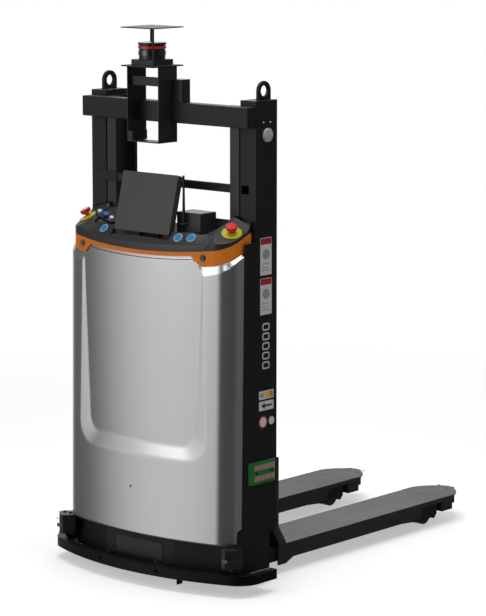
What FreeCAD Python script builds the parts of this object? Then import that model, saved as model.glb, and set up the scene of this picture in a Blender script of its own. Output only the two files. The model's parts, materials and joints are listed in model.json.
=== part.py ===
import FreeCAD, Part
import math
import os
import Sketcher

# Autonomous fork-over pallet stacker: a mast with a lifting fork carriage, a driven
# chassis with support legs, a moulded front cover with a console, and a sensor tower.
# X points to the machine's right, Y towards the fork tips, Z up from the floor, in mm.
# The origin is on the floor, under the middle of the whole machine.

DOC = FreeCAD.newDocument("pallet_stacker")
SHEET = DOC.addObject("Spreadsheet::Sheet", "Dimensions")

CELLS = {
    # mast
    "mastFront": -567, "mastHalf": 403, "mastTop": 1765, "mastFoot": 196,
    "postWide": 73, "postDeep": 116, "postWall": 5, "railSlit": 5,
    "railWide": 45, "railWeb": 9, "railFlange": 12, "railDrop": 20,
    "beamDeep": 50, "beamTall": 74, "beamDrop": 20, "beamWall": 5,
    "crossbarLow": 1432, "crossbarTall": 30, "crossbarDeep": 12, "tieLow": 690, "tieTall": 44,
    "eyeInset": 25, "eyeThick": 12, "eyeRadius": 35, "eyeBore": 19, "eyeRise": 32,
    # running gear
    "floorGap": 60, "chassisTop": 140, "plateThick": 8, "chassisFront": -98,
    "legInset": 12, "legTop": 98, "legLow": 47, "legWall": 6,
    "loadRadius": 42, "loadWide": 88, "loadPin": 10, "loadBack": 1165, "forkCentre": 239,
    "carrierFront": 1069, "carrierBack": 1184, "carrierTop": 92, "carrierLow": 37,
    "driveRadius": 75, "driveWide": 58, "driveBack": -90, "casterRadius": 37.5,
    "casterWide": 28, "casterInset": 133, "casterBack": -64, "casterTrail": 18,
    # forks and carriage
    "forkWide": 206, "forkTop": 110, "forkPlate": 6, "forkLow": 51, "forkWall": 6,
    "forkTip": 1388, "tipStraight": 1279, "rimLow": 92, "heelFront": 202, "heelThick": 42,
    "heelLow": 33, "heelTop": 430, "heelShoulder": 115, "heelWaist": 170, "heelSlope": 36,
    "tipSensorFront": 1211, "tipSensorBack": 1309, "sideThick": 14,
    "carriageLow": 150, "carriageTall": 410, "guideInset": 50,
    # lift
    "barrelX": 225, "barrelRadius": 28, "rodRadius": 16, "barrelTop": 820, "rodTop": 852,
    "pulleyX": 150, "pulleyRadius": 30, "pulleyWide": 18, "pulleyRise": 73,
    "chainThick": 8, "chainWide": 14,
    # body shell
    "coverLow": 178, "shellInset": 1, "shellFront": -214, "shellLean": 17, "shellRear": -74,
    "shellArc": 1232, "shellCorner": 72, "shellWall": 4, "recessDeep": 12,
    "recessLow": 520, "recessSide": 111, "recessTaper": 33, "recessLip": 44,
    "crownInset": 12, "crownFront": -197, "crownCorner": 85, "crownTilt": 21.8,
    "bandTop": 1224, "bandTall": 14.5, "lobeTall": 50, "lobeReach": 116, "lobeSlant": 40,
    "lipTall": 24, "consoleTilt": 47, "consoleLong": 56, "podReach": 167, "sensorEye": 11,
    # console fittings
    "panelWide": 270, "panelTall": 217, "panelThick": 26, "panelFront": -165,
    "panelRise": 58, "panelLean": 14, "antennaX": 156, "antennaY": -108, "antennaTall": 172,
    "equipmentX": 110, "equipmentWide": 115, "equipmentTall": 98,
    "stopInset": 49, "stopY": -72, "stopHead": 20, "stopRing": 37,
    # lower front
    "bumperOut": 85, "bumperFront": -254, "bumperLow": 46, "bumperTall": 36,
    "bumperThick": 30, "skirtBreak": 165,
    "cornerOut": 9, "cornerY": -142, "cornerWide": 76, "cornerLow": 106, "cornerTall": 70,
    # sensor tower
    "towerX": -32, "towerY": -67, "towerHalf": 78, "towerDeep": 98, "towerDrop": 145,
    "towerRise": 127, "platterWide": 160, "headWide": 109, "headTall": 20, "lidarRadius": 50,
    "lidarTall": 61, "guardTall": 137, "guardRod": 4,
    # side fittings
    "lampY": 61, "lampDrop": 123, "lampRadius": 25.5, "lampThick": 16,
    "chargeLow": 386, "chargeTall": 81, "chargeDeep": 140, "chargeThick": 11, "chargeY": 28,
    # further places
    "chassisNose": 33, "skirtBack": -180, "bearingTall": 12, "motorRadius": 50, "motorTall": 130,
    "wheelCrown": 158, "carrierRamp": 118, "casterPin": 6, "tipRound": 160, "crossTall": 90,
    "crossheadTall": 28, "shellRise": 96, "crownRear": -10, "lobeDrop": 36, "recessRound": 56,
    "recessCut": 42, "deckRise": 176, "lensInset": 107, "lensDrop": 8, "eyeY": -166,
    "eyeLong": 14, "podTall": 28, "podRise": 8, "frameRise": 38,
    "batteryHalf": 200, "batteryDeep": 110, "batteryLow": 330, "batteryTall": 260,
    "ringTall": 5, "stopStem": 8, "stopStroke": 4, "stopTall": 18,
    "clusterInset": 126, "clusterY": -62, "clusterWide": 34, "clusterDeep": 8, "podFlank": 72,
    "buttonPitch": 28, "buttonStroke": 3, "buttonRadius": 8, "buttonTall": 7,
    "blueScale": 1.35, "knuckleHalf": 40, "knuckleRadius": 12, "knuckleUp": 40,
    "standDrop": 60, "notchDeep": 12,
    "panelRound": 6, "equipmentFront": -95, "shelfHalf": 12, "shelfRise": 60,
    "antennaFoot": 6.5, "skirtLow": 88, "serviceHalf": 115, "serviceTall": 64,
    "strapX": 172, "strapWide": 30, "strapGap": 6, "bumperCorner": 95, "bumperArc": 1118,
    "bumperRear": 20, "webRear": -196, "webThick": 8, "guideX": 140, "guideZ": 66,
    "guideRadius": 7, "towerFront": -118, "bridgeBack": 18, "bridgeRise": 58, "bridgeTall": 33,
    "probeWide": 22, "probeTall": 34, "capTall": 8, "beamBoxWide": 50, "beamBoxTall": 83,
    "beamBoxRound": 9,
    # clearances
    "pinGap": 0.3,
    "seatGap": 0.5, "runGap": 1.5, "slideGap": 4,
}


class Size:
    """A length that carries its formula over the sheet together with its present value."""

    def __init__(self, formula, number):
        self.formula = formula
        self.number = float(number)

    def joined(self, sign, other, number):
        return Size(f"({self.formula} {sign} {other.formula})", number)

    def __add__(self, other):
        other = sized(other)
        return self.joined("+", other, self.number + other.number)

    def __sub__(self, other):
        other = sized(other)
        return self.joined("-", other, self.number - other.number)

    def __mul__(self, other):
        other = sized(other)
        return self.joined("*", other, self.number * other.number)

    def __truediv__(self, other):
        other = sized(other)
        return self.joined("/", other, self.number / other.number)

    def __radd__(self, other):
        return sized(other) + self

    def __rsub__(self, other):
        return sized(other) - self

    def __rmul__(self, other):
        return sized(other) * self

    def __neg__(self):
        return sized(0) - self

    def __float__(self):
        return self.number


def sized(value):
    return value if isinstance(value, Size) else Size(f"({value})", value)


def root(size):
    return Size(f"sqrt({size.formula})", math.sqrt(size.number))


def sine(degrees):
    return Size(f"sin({degrees.formula} * 1 deg)", math.sin(math.radians(degrees.number)))


def cosine(degrees):
    return Size(f"cos({degrees.formula} * 1 deg)", math.cos(math.radians(degrees.number)))


class Dimensions:
    """The driving dimensions: one cell, one alias and one attribute for each."""

    def __init__(self, cells):
        for row, (alias, value) in enumerate(cells.items(), start=1):
            SHEET.set(f"A{row}", alias)
            SHEET.set(f"B{row}", str(value))
            SHEET.setAlias(f"B{row}", alias)
            setattr(self, alias, Size(f"Dimensions.{alias}", value))


dim = Dimensions(CELLS)
DOC.recompute()


# ---------------------------------------------------------------- building blocks

def bind(item, target, size):
    item.setExpression(target, sized(size).formula)


def settle(item, x=0, y=0, z=0, axis=(0, 0, 1), angle=0):
    """Place an item at a bound position, turned about its own origin."""
    item.Placement = FreeCAD.Placement(FreeCAD.Vector(), FreeCAD.Rotation(FreeCAD.Vector(*axis), angle))
    for letter, size in zip("xyz", (x, y, z)):
        bind(item, f"Placement.Base.{letter}", size)
    return item


def box(name, xs, ys, zs):
    """A box between bound low and high planes along each axis."""
    item = DOC.addObject("Part::Box", name)
    for prop, (low, high) in zip(("Length", "Width", "Height"), (xs, ys, zs)):
        bind(item, prop, sized(high) - low)
    return settle(item, xs[0], ys[0], zs[0])


TURNS = {"x": ((0, 1, 0), 90), "y": ((1, 0, 0), -90), "z": ((0, 0, 1), 0)}


def rod(name, axis, start, radius, length):
    """A cylinder that runs from a bound start point along +axis."""
    item = DOC.addObject("Part::Cylinder", name)
    bind(item, "Radius", radius)
    bind(item, "Height", length)
    turn, angle = TURNS[axis]
    return settle(item, *start, axis=turn, angle=angle)


def cone(name, start, low, high, length):
    item = DOC.addObject("Part::Cone", name)
    bind(item, "Radius1", low)
    bind(item, "Radius2", high)
    bind(item, "Height", length)
    return settle(item, *start)


def cut(name, base, *tools):
    for index, tool in enumerate(tools):
        result = DOC.addObject("Part::Cut", f"{name}_{index}" if index < len(tools) - 1 else name)
        result.Base, result.Tool = base, tool
        base = result
    return base


def fuse(name, *pieces):
    result = DOC.addObject("Part::MultiFuse", name)
    result.Shapes = list(pieces)
    result.Refine = True
    return result


def common(name, first, second):
    result = DOC.addObject("Part::Common", name)
    result.Base, result.Tool = first, second
    return result


def group(name, *pieces):
    """Several equal pieces that share one node."""
    result = DOC.addObject("Part::Compound", name)
    result.Links = list(pieces)
    return result


def mirrored(name, source):
    result = DOC.addObject("Part::Mirroring", name)
    result.Source = source
    result.Normal = FreeCAD.Vector(1, 0, 0)
    return result


def plane_of(body, role):
    return next(item for item in body.Origin.OriginFeatures if item.Role == role)


def sketched(body, name, role, loops, offset):
    """A fully bound sketch: each corner is held by two cells' formulas, each arc by its radius.

    A corner is (a, b) before a straight side, or (a, b, radius) before an arc: a positive
    radius bends to the left of the way round, a negative one to the right.
    """
    sketch = body.newObject("Sketcher::SketchObject", name)
    sketch.AttachmentSupport = (plane_of(body, role), "")
    sketch.MapMode = "FlatFace"
    bind(sketch, "AttachmentOffset.Base.z", offset)
    for loop in loops:
        add_loop(sketch, loop)
    return sketch


def add_loop(sketch, corners):
    first = sketch.GeometryCount
    flips = []
    for index, corner in enumerate(corners):
        start = [float(value) for value in corner[:2]]
        end = [float(value) for value in corners[(index + 1) % len(corners)][:2]]
        if len(corner) == 2:
            sketch.addGeometry(Part.LineSegment(vector(*start), vector(*end)))
            flips.append(False)
        else:
            sketch.addGeometry(arc_between(start, end, float(corner[2])))
            flips.append(float(corner[2]) < 0)
    for index, corner in enumerate(corners):
        piece, after = first + index, first + (index + 1) % len(corners)
        begin, finish = (2, 1) if flips[index] else (1, 2)
        next_begin = 2 if flips[(index + 1) % len(corners)] else 1
        link(sketch, "Coincident", piece, finish, after, next_begin)
        hold(sketch, ("DistanceX", -1, 1, piece, begin), corner[0])
        hold(sketch, ("DistanceY", -1, 1, piece, begin), corner[1])
        if len(corner) == 3:
            radius = corner[2] if float(corner[2]) > 0 else -corner[2]
            hold(sketch, ("Radius", piece), radius)


def link(sketch, *terms):
    sketch.addConstraint(Sketcher.Constraint(*terms))


def hold(sketch, terms, size):
    index = sketch.addConstraint(Sketcher.Constraint(*terms, float(size)))
    bind(sketch, f"Constraints[{index}]", size)


def vector(a, b):
    return FreeCAD.Vector(a, b, 0)


def arc_between(start, end, radius):
    """The shorter arc between two points; Part arcs always run anticlockwise."""
    if radius < 0:
        start, end = end, start
    radius = abs(radius)
    dx, dy = end[0] - start[0], end[1] - start[1]
    chord = math.hypot(dx, dy)
    rise = math.sqrt(radius ** 2 - (chord / 2) ** 2)
    centre = vector((start[0] + end[0]) / 2 - dy / chord * rise, (start[1] + end[1]) / 2 + dx / chord * rise)
    first = math.atan2(start[1] - centre.y, start[0] - centre.x)
    last = math.atan2(end[1] - centre.y, end[0] - centre.x)
    circle = Part.Circle(centre, FreeCAD.Vector(0, 0, 1), radius)
    return Part.ArcOfCircle(circle, first, last if last > first else last + 2 * math.pi)


ROLES = {"xy": "XY_Plane", "xz": "XZ_Plane", "yz": "YZ_Plane"}


def prism(name, plane, loops, span):
    """A padded body between two bound levels along the normal of its plane."""
    body = DOC.addObject("PartDesign::Body", name)
    low, high = span
    backward = plane == "xz"
    sketch = sketched(body, f"{name}_sketch", ROLES[plane], loops, -sized(low) if backward else low)
    pad = body.newObject("PartDesign::Pad", f"{name}_pad")
    pad.Profile = sketch
    pad.Reversed = backward
    bind(pad, "Length", sized(high) - low)
    body.Tip = pad
    return body


def lofted(name, plane, sections):
    """A body lofted through bound sections, each (level, loop)."""
    body = DOC.addObject("PartDesign::Body", name)
    sign = -1 if plane == "xz" else 1
    sketches = [sketched(body, f"{name}_section_{index}", ROLES[plane], [loop], sized(level) * sign)
                for index, (level, loop) in enumerate(sections)]
    loft = body.newObject("PartDesign::AdditiveLoft", f"{name}_loft")
    loft.Profile = sketches[0]
    loft.Sections = sketches[1:]
    loft.Ruled = True
    body.Tip = loft
    return body


def rounded(name, base, radius, chosen):
    """A fillet of one bound radius along the edges that the test picks."""
    DOC.recompute()
    result = DOC.addObject("Part::Fillet", name)
    result.Base = base
    result.Edges = [(index, float(radius), float(radius))
                    for index, edge in enumerate(base.Shape.Edges, start=1) if chosen(edge)]
    return result


def upright(edge):
    ends = [vertex.Point for vertex in edge.Vertexes]
    return len(ends) == 2 and abs(ends[0].x - ends[1].x) + abs(ends[0].y - ends[1].y) < 0.01


NODES = []


def node(label, item):
    item.Label = label
    NODES.append(item)
    return item


def both_sides(label, item):
    """The right-hand piece and its mirror image, each a node of its own."""
    node(f"{label}_right", item)
    return node(f"{label}_left", mirrored(f"{item.Name}_left", item))


# ---------------------------------------------------------------- shared places

def behind(distance):
    """A level measured back from the front plane of the mast."""
    return dim.mastFront + distance


post_in = dim.mastHalf - dim.postWide
rail_out = post_in - dim.railSlit
rail_in = rail_out - dim.railWide
mast_mid = behind(dim.postDeep / 2)
mast_rear = behind(dim.postDeep)
plate_in = dim.mastHalf - dim.plateThick
caster_x = plate_in - dim.casterInset
rail_top = dim.mastTop - dim.railDrop
beam_top = dim.mastTop - dim.beamDrop
beam_low = beam_top - dim.beamTall
tower_low = beam_top - dim.towerDrop
tower_top = beam_top + dim.towerRise
bridge_low = beam_top + dim.bridgeRise
guard_top = tower_top + dim.shellWall * 1.25 + dim.guardTall
lamp_z = dim.mastTop - dim.lampDrop
shell_half = dim.mastHalf - dim.shellInset
crown_half = shell_half - dim.crownInset
pod_half = shell_half - dim.podReach
recess_half = shell_half - dim.recessSide
recess_foot = recess_half - dim.recessTaper
lobe_foot = shell_half - dim.lobeReach
lobe_head = lobe_foot - dim.lobeSlant
eye_x = shell_half - dim.lensInset
eye_z = dim.bandTop - dim.lensDrop
stop_x = shell_half - dim.stopInset
cluster_x = shell_half - dim.clusterInset
sensor_x = dim.mastHalf + dim.cornerOut
bumper_half = dim.mastHalf + dim.bumperOut
shell_top = dim.bandTop + dim.shellRise
deck_top = dim.bandTop + dim.deckRise
panel_low = dim.bandTop + dim.panelRise
frame_top = dim.bandTop + dim.frameRise
equipment_top = frame_top + dim.equipmentTall
shelf_z = frame_top + dim.shelfRise
antenna_top = shelf_z + dim.antennaTall
guide_radius = dim.postDeep / 2 - dim.railFlange - dim.seatGap
fork_in = dim.forkCentre - dim.forkWide / 2
fork_out = dim.forkCentre + dim.forkWide / 2
leg_in = fork_in + dim.legInset
leg_out = fork_out - dim.legInset
load_y = behind(dim.loadBack)
deck_low = dim.chassisTop - dim.plateThick
drive_y = behind(dim.driveBack)
caster_y = behind(dim.casterBack)
heel_front = behind(dim.heelFront)
heel_back = heel_front + dim.heelThick
steer_circle = dim.driveRadius + dim.plateThick


def build_posts():
    xs, ys = (post_in, dim.mastHalf), (dim.mastFront, mast_rear)
    wall = dim.postWall
    outer = box("post_outer", xs, ys, (dim.mastFoot, dim.mastTop))
    hollow = box("post_hollow", (xs[0] + wall, xs[1] - wall), (ys[0] + wall, ys[1] - wall),
                 (dim.mastFoot - wall, dim.mastTop - wall))
    window = box("post_window", (xs[0] + wall, xs[0] + dim.postWide * 0.55),
                 (dim.mastFront - wall, dim.mastFront + wall * 2),
                 (dim.crossbarLow, dim.crossbarLow + dim.crossbarTall))
    post = cut("post_right", outer, hollow, window)
    node("mast_posts", group("mast_posts", post, mirrored("post_left", post)))


def build_rails():
    flange, web = dim.railFlange, dim.railWeb
    front, rear = dim.mastFront, mast_rear
    channel = [(rail_in, front), (rail_out, front), (rail_out, rear), (rail_in, rear),
               (rail_in, rear - flange), (rail_out - web, rear - flange),
               (rail_out - web, front + flange), (rail_in, front + flange)]
    rail = prism("rail_right", "xy", [channel], (dim.chassisTop, rail_top))
    node("mast_rails", group("mast_rails", rail, mirrored("rail_left", rail)))


def build_cross_members():
    wall = dim.beamWall
    front, half = dim.mastFront, dim.mastHalf
    beam = box("beam_outer", (-half, half), (front - dim.beamDeep, front), (beam_low, beam_top))
    bore = box("beam_bore", (wall - half, half - wall), (front - dim.beamDeep + wall, front - wall),
               (beam_low + wall, beam_top - wall))
    node("top_crossbeam", cut("top_crossbeam", beam, bore))
    bar = box("crossbar_bar", (-rail_in, rail_in), (front, front + dim.crossbarDeep),
              (dim.crossbarLow, dim.crossbarLow + dim.crossbarTall))
    bracket = box("crossbar_bracket", (-half + dim.eyeInset, -rail_in + dim.plateThick),
                  (front - dim.slideGap, front),
                  (dim.crossbarLow, dim.crossbarLow + dim.crossbarTall + dim.plateThick))
    node("mid_crossbar", fuse("mid_crossbar", bar, bracket))
    lug_x = (dim.pulleyX - dim.chainWide, dim.pulleyX + dim.chainWide)
    lug_y = (front, mast_mid - dim.pulleyRadius + dim.chainThick)
    tie = box("tie_bar", (-rail_in, rail_in), (front, front + dim.railFlange),
              (dim.tieLow, dim.tieLow + dim.tieTall))
    lug = box("tie_lug", lug_x, lug_y, (dim.tieLow, dim.tieLow + dim.tieTall))
    node("chain_anchor_bar", fuse("chain_anchor_bar", tie, lug, mirrored("tie_lug_left", lug)))


def build_lifting_eyes():
    middle, radius, top = mast_mid + dim.eyeThick, dim.eyeRadius, dim.mastTop
    centre = top + dim.eyeRise
    plate = [(middle - radius, top), (middle + radius, top), (middle + radius, centre, radius),
             (middle, centre + radius, radius), (middle - radius, centre)]
    inner = dim.mastHalf - dim.eyeInset - dim.eyeThick / 2
    eye = prism("eye_plate", "yz", [plate], (inner, inner + dim.eyeThick))
    bore = rod("eye_bore", "x", (inner - dim.eyeThick, middle, centre), dim.eyeBore, dim.eyeThick * 3)
    both_sides("lifting_eye", cut("lifting_eye_right", eye, bore))


# ---------------------------------------------------------------- chassis and running gear

def build_chassis():
    front, gap, foot = dim.mastFront, dim.floorGap, dim.mastFoot
    side_rear = front + dim.postDeep * 0.67
    beam = box("chassis_beam", (-plate_in, plate_in), (front, side_rear), (gap, dim.chassisTop))
    nose = dim.chassisNose
    outline = [(front + dim.chassisFront, gap), (side_rear, gap), (side_rear, foot), (front, foot),
               (front, foot + nose), (front + dim.shellRear, foot + nose),
               (front + dim.chassisFront, foot + nose / 2)]
    side = prism("chassis_side", "yz", [outline], (plate_in, dim.mastHalf))
    seat = box("post_seat", (post_in, plate_in), (front, side_rear), (dim.chassisTop, foot))
    pan_outline = [(-plate_in, front + dim.chassisFront), (-dim.skirtBreak, behind(dim.skirtBack)),
                   (dim.skirtBreak, behind(dim.skirtBack)), (plate_in, front + dim.chassisFront),
                   (plate_in, front), (-plate_in, front)]
    pan = prism("chassis_pan", "xy", [pan_outline], (deck_low, dim.chassisTop))
    opening = rod("drive_opening", "z", (0, drive_y, gap), steer_circle, dim.chassisTop)
    body = fuse("chassis_body", beam, side, mirrored("chassis_side_left", side), seat,
                mirrored("post_seat_left", seat), pan)
    hollow = cut("chassis_cut", body, opening)
    ring = rod("steer_ring", "z", (0, drive_y, dim.chassisTop), steer_circle + dim.postWall, dim.bearingTall)
    ring_bore = rod("steer_ring_bore", "z", (0, drive_y, gap), steer_circle, dim.chassisTop)
    guide_start = behind(dim.webRear) - dim.bumperThick * 1.4
    guide = rod("bumper_guide_rod", "y", (dim.guideX, guide_start, dim.guideZ),
                dim.guideRadius, -dim.webRear + dim.bumperThick * 1.4 + 1)
    top = deck_low - dim.runGap
    stem = rod("caster_stem", "z", (caster_x, caster_y, top), dim.casterPin, dim.runGap + 1)
    parts = [hollow, cut("steer_bearing", ring, ring_bore), guide, mirrored("bumper_guide_rod_left", guide),
             stem, mirrored("caster_stem_left", stem)]
    node("chassis_frame", fuse("chassis_frame", *parts))


def build_legs():
    """Support legs inside the forks: a box beam that ends in a slotted wheel carrier."""
    start = behind(dim.postDeep * 0.67)
    front, back = behind(dim.carrierFront), behind(dim.carrierBack)
    wall, low, top = dim.legWall, dim.legLow, dim.legTop
    beam = box("leg_beam", (leg_in, leg_out), (start, front), (low, top))
    bore = box("leg_bore", (leg_in + wall, leg_out - wall), (start - wall, front - wall * 3),
               (low - wall, top - wall))
    shoe = [(front - dim.carrierRamp, low), (front, dim.carrierLow), (back - wall * 2, dim.carrierLow),
            (back, dim.carrierLow + wall * 2), (back, dim.carrierTop), (front - dim.carrierRamp, dim.carrierTop)]
    carrier = prism("leg_carrier", "yz", [shoe], (leg_in, leg_out))
    half_slot = dim.loadWide / 2 + dim.slideGap
    half_long = dim.loadRadius + dim.slideGap
    slot = box("leg_slot", (dim.forkCentre - half_slot, dim.forkCentre + half_slot),
               (load_y - half_long, back + wall), (low - wall * 3, top + wall))
    pin = rod("leg_pin_bore", "x", (leg_in - wall, load_y, dim.loadRadius), dim.loadPin,
              leg_out - leg_in + wall * 2)
    leg = cut("leg_slotted", fuse("leg_body", cut("leg_tube", beam, bore), carrier), slot, pin)
    axle = rod("load_axle", "x", (leg_in, load_y, dim.loadRadius), dim.loadPin, leg_out - leg_in)
    both_sides("support_leg", fuse("support_leg_axled", leg, axle))
    half = dim.loadWide / 2
    tread = rod("load_tread", "x", (dim.forkCentre - half, load_y, dim.loadRadius), dim.loadRadius, half * 2)
    hub = rod("load_hub", "x", (dim.forkCentre - half - 1, load_y, dim.loadRadius),
              dim.loadPin + dim.pinGap, half * 2 + 2)
    both_sides("load_roller", cut("load_roller_right", tread, hub))


def build_drive():
    wheel_r, half = dim.driveRadius, dim.driveWide / 2
    wall = dim.plateThick
    pin = dim.loadPin
    wheel = rod("drive_wheel_disc", "x", (-half, drive_y, wheel_r), wheel_r, half * 2)
    wheel_bore = rod("drive_wheel_bore", "x", (-half - 1, drive_y, wheel_r), pin + dim.pinGap, half * 2 + 2)
    node("drive_wheel", cut("drive_wheel", wheel, wheel_bore))
    top = dim.chassisTop + dim.bearingTall + dim.seatGap
    cheek_in = half + dim.runGap * 2
    cheek = box("drive_cheek", (cheek_in, cheek_in + wall), (drive_y - wheel_r / 2, drive_y + wheel_r / 2),
                (wheel_r - pin * 2, top + wall))
    table = rod("drive_table", "z", (0, drive_y, top), steer_circle + dim.postWall, wall)
    well = box("drive_well", (-cheek_in, cheek_in), (drive_y - wheel_r, drive_y + wheel_r),
               (top - 1, dim.wheelCrown))
    motor = rod("drive_motor", "z", (0, drive_y, top + wall), dim.motorRadius, dim.motorTall)
    axle = rod("drive_axle", "x", (-cheek_in, drive_y, wheel_r), pin, cheek_in * 2)
    fork = cut("drive_fork_body", fuse("drive_fork_blank", cheek, mirrored("drive_cheek_left", cheek), table),
               well)
    node("drive_unit", fuse("drive_unit", fork, motor, axle))


def build_casters():
    radius, half = dim.casterRadius, dim.casterWide / 2
    wall = dim.postWall
    x, wheel_y = caster_x, caster_y + dim.casterTrail
    top = deck_low - dim.runGap
    wheel = rod("caster_tread", "x", (x - half, wheel_y, radius), radius, half * 2)
    bore = rod("caster_bore", "x", (x - half - 1, wheel_y, radius), dim.casterPin + dim.pinGap, half * 2 + 2)
    both_sides("caster_wheel", cut("caster_wheel_right", wheel, bore))
    cheek_in = half + dim.runGap
    cheek = box("caster_cheek", (x + cheek_in, x + cheek_in + wall),
                (caster_y - radius * 0.45, wheel_y + radius * 0.4), (radius - dim.casterPin * 2, top))
    other = box("caster_cheek_inner", (x - cheek_in - wall, x - cheek_in),
                (caster_y - radius * 0.45, wheel_y + radius * 0.4), (radius - dim.casterPin * 2, top))
    crown = box("caster_crown", (x - cheek_in - wall, x + cheek_in + wall),
                (caster_y - radius * 0.45, wheel_y + radius * 0.4), (radius * 2 + dim.runGap * 2, top))
    axle = rod("caster_axle", "x", (x - cheek_in, wheel_y, radius), dim.casterPin, cheek_in * 2)
    both_sides("caster_fork", fuse("caster_fork_right", cheek, other, crown, axle))


# ---------------------------------------------------------------- forks, carriage and lift

def tip_outline():
    """Plan of one fork: parallel sides that close in a blunt rounded tip."""
    start, straight, tip = heel_back, behind(dim.tipStraight), behind(dim.forkTip)
    half, mid = dim.forkWide / 2, dim.forkCentre
    nose = half * 0.42
    shoulder = tip - (tip - straight) * 0.22
    big = dim.tipRound
    return [(fork_in, start), (fork_out, start), (fork_out, straight, big),
            (mid + nose, shoulder, nose * 1.4),
            (mid, tip, nose * 1.4), (mid - nose, shoulder, big), (fork_in, straight)]


def build_forks():
    wall, top = dim.forkWall, dim.forkTop
    start, flange_end = heel_back, behind(dim.carrierFront)
    plate = prism("fork_plate", "xy", [tip_outline()], (top - dim.forkPlate, top))
    flange_profile = [(start, dim.heelLow), (start + dim.heelThick, dim.forkLow), (flange_end, dim.forkLow),
                      (flange_end + wall, dim.rimLow), (behind(dim.tipStraight), dim.rimLow),
                      (behind(dim.tipStraight), top - dim.forkPlate), (start, top - dim.forkPlate)]
    outer = prism("fork_flange_outer", "yz", [flange_profile], (fork_out - wall, fork_out))
    inner = prism("fork_flange_inner", "yz", [flange_profile], (fork_in, fork_in + wall))
    heel = [(fork_in, dim.heelLow), (fork_out, dim.heelLow), (fork_out, dim.heelShoulder),
            (fork_out - dim.heelSlope, dim.heelWaist), (fork_out - dim.heelSlope, dim.heelTop),
            (fork_in + dim.heelSlope, dim.heelTop), (fork_in, dim.heelWaist)]
    slab = prism("fork_heel", "xz", [heel], (heel_front, heel_back))
    gap = dim.slideGap
    arch = box("fork_arch", (leg_in - gap, leg_out + gap), (heel_front - 1, heel_back + 1),
               (dim.heelLow - 1, top - dim.forkPlate))
    sensor = box("fork_tip_sensor", (fork_in + wall, fork_out - wall),
                 (behind(dim.tipSensorFront), behind(dim.tipStraight)), (dim.forkLow, top - dim.forkPlate))
    nose = box("fork_tip_nose", (fork_in + wall * 3, fork_out - wall * 3),
               (behind(dim.tipStraight), behind(dim.tipSensorBack)),
               (dim.forkLow + wall * 3, top - dim.forkPlate))
    fork = fuse("fork_right", plate, outer, inner, cut("fork_heel_arched", slab, arch), sensor, nose)
    both_sides("fork", fork)


def build_carriage():
    """Welded carriage: side plates in the rails, cross plates, stub axles and chain anchors."""
    side_out = rail_out - dim.railWide - dim.slideGap
    side_in = side_out - dim.sideThick
    low, top = dim.carriageLow, dim.carriageLow + dim.carriageTall
    guide_low, guide_high = low + dim.guideInset, top - dim.guideInset
    front = mast_mid - guide_radius + dim.railFlange
    plate = box("carriage_side", (side_in, side_out), (front, heel_front), (low, top))
    cross_y = (mast_rear - dim.railFlange, mast_rear + dim.plateThick)
    crosses = [box(f"carriage_cross_{index}", (-side_in, side_in), cross_y, (level, level + dim.crossTall))
               for index, level in enumerate((low, top - dim.crossTall))]
    anchors = []
    axles = []
    for index, level in enumerate((guide_low, guide_high)):
        axles.append(rod(f"guide_axle_{index}", "x", (side_out, mast_mid, level), dim.loadPin,
                         rail_out - dim.railWeb - dim.runGap * 2 - side_out))
    lug = box("carriage_lug", (dim.pulleyX - dim.chainWide, dim.pulleyX + dim.chainWide),
              (mast_mid + dim.pulleyRadius - dim.chainThick, cross_y[0]), (low, low + dim.crossTall))
    pieces = [plate, lug] + axles
    pieces += [mirrored(f"{piece.Name}_left", piece) for piece in pieces]
    node("carriage_frame", fuse("carriage_frame", *crosses, *pieces))
    start = side_out + dim.runGap
    width = rail_out - dim.railWeb - dim.runGap - start
    for name, level in (("lower", guide_low), ("upper", guide_high)):
        tread = rod(f"guide_{name}_tread", "x", (start, mast_mid, level), guide_radius, width)
        bore = rod(f"guide_{name}_bore", "x", (start - 1, mast_mid, level), dim.loadPin + dim.pinGap,
                   width + 2)
        both_sides(f"guide_roller_{name}", cut(f"guide_roller_{name}_right", tread, bore))


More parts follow.
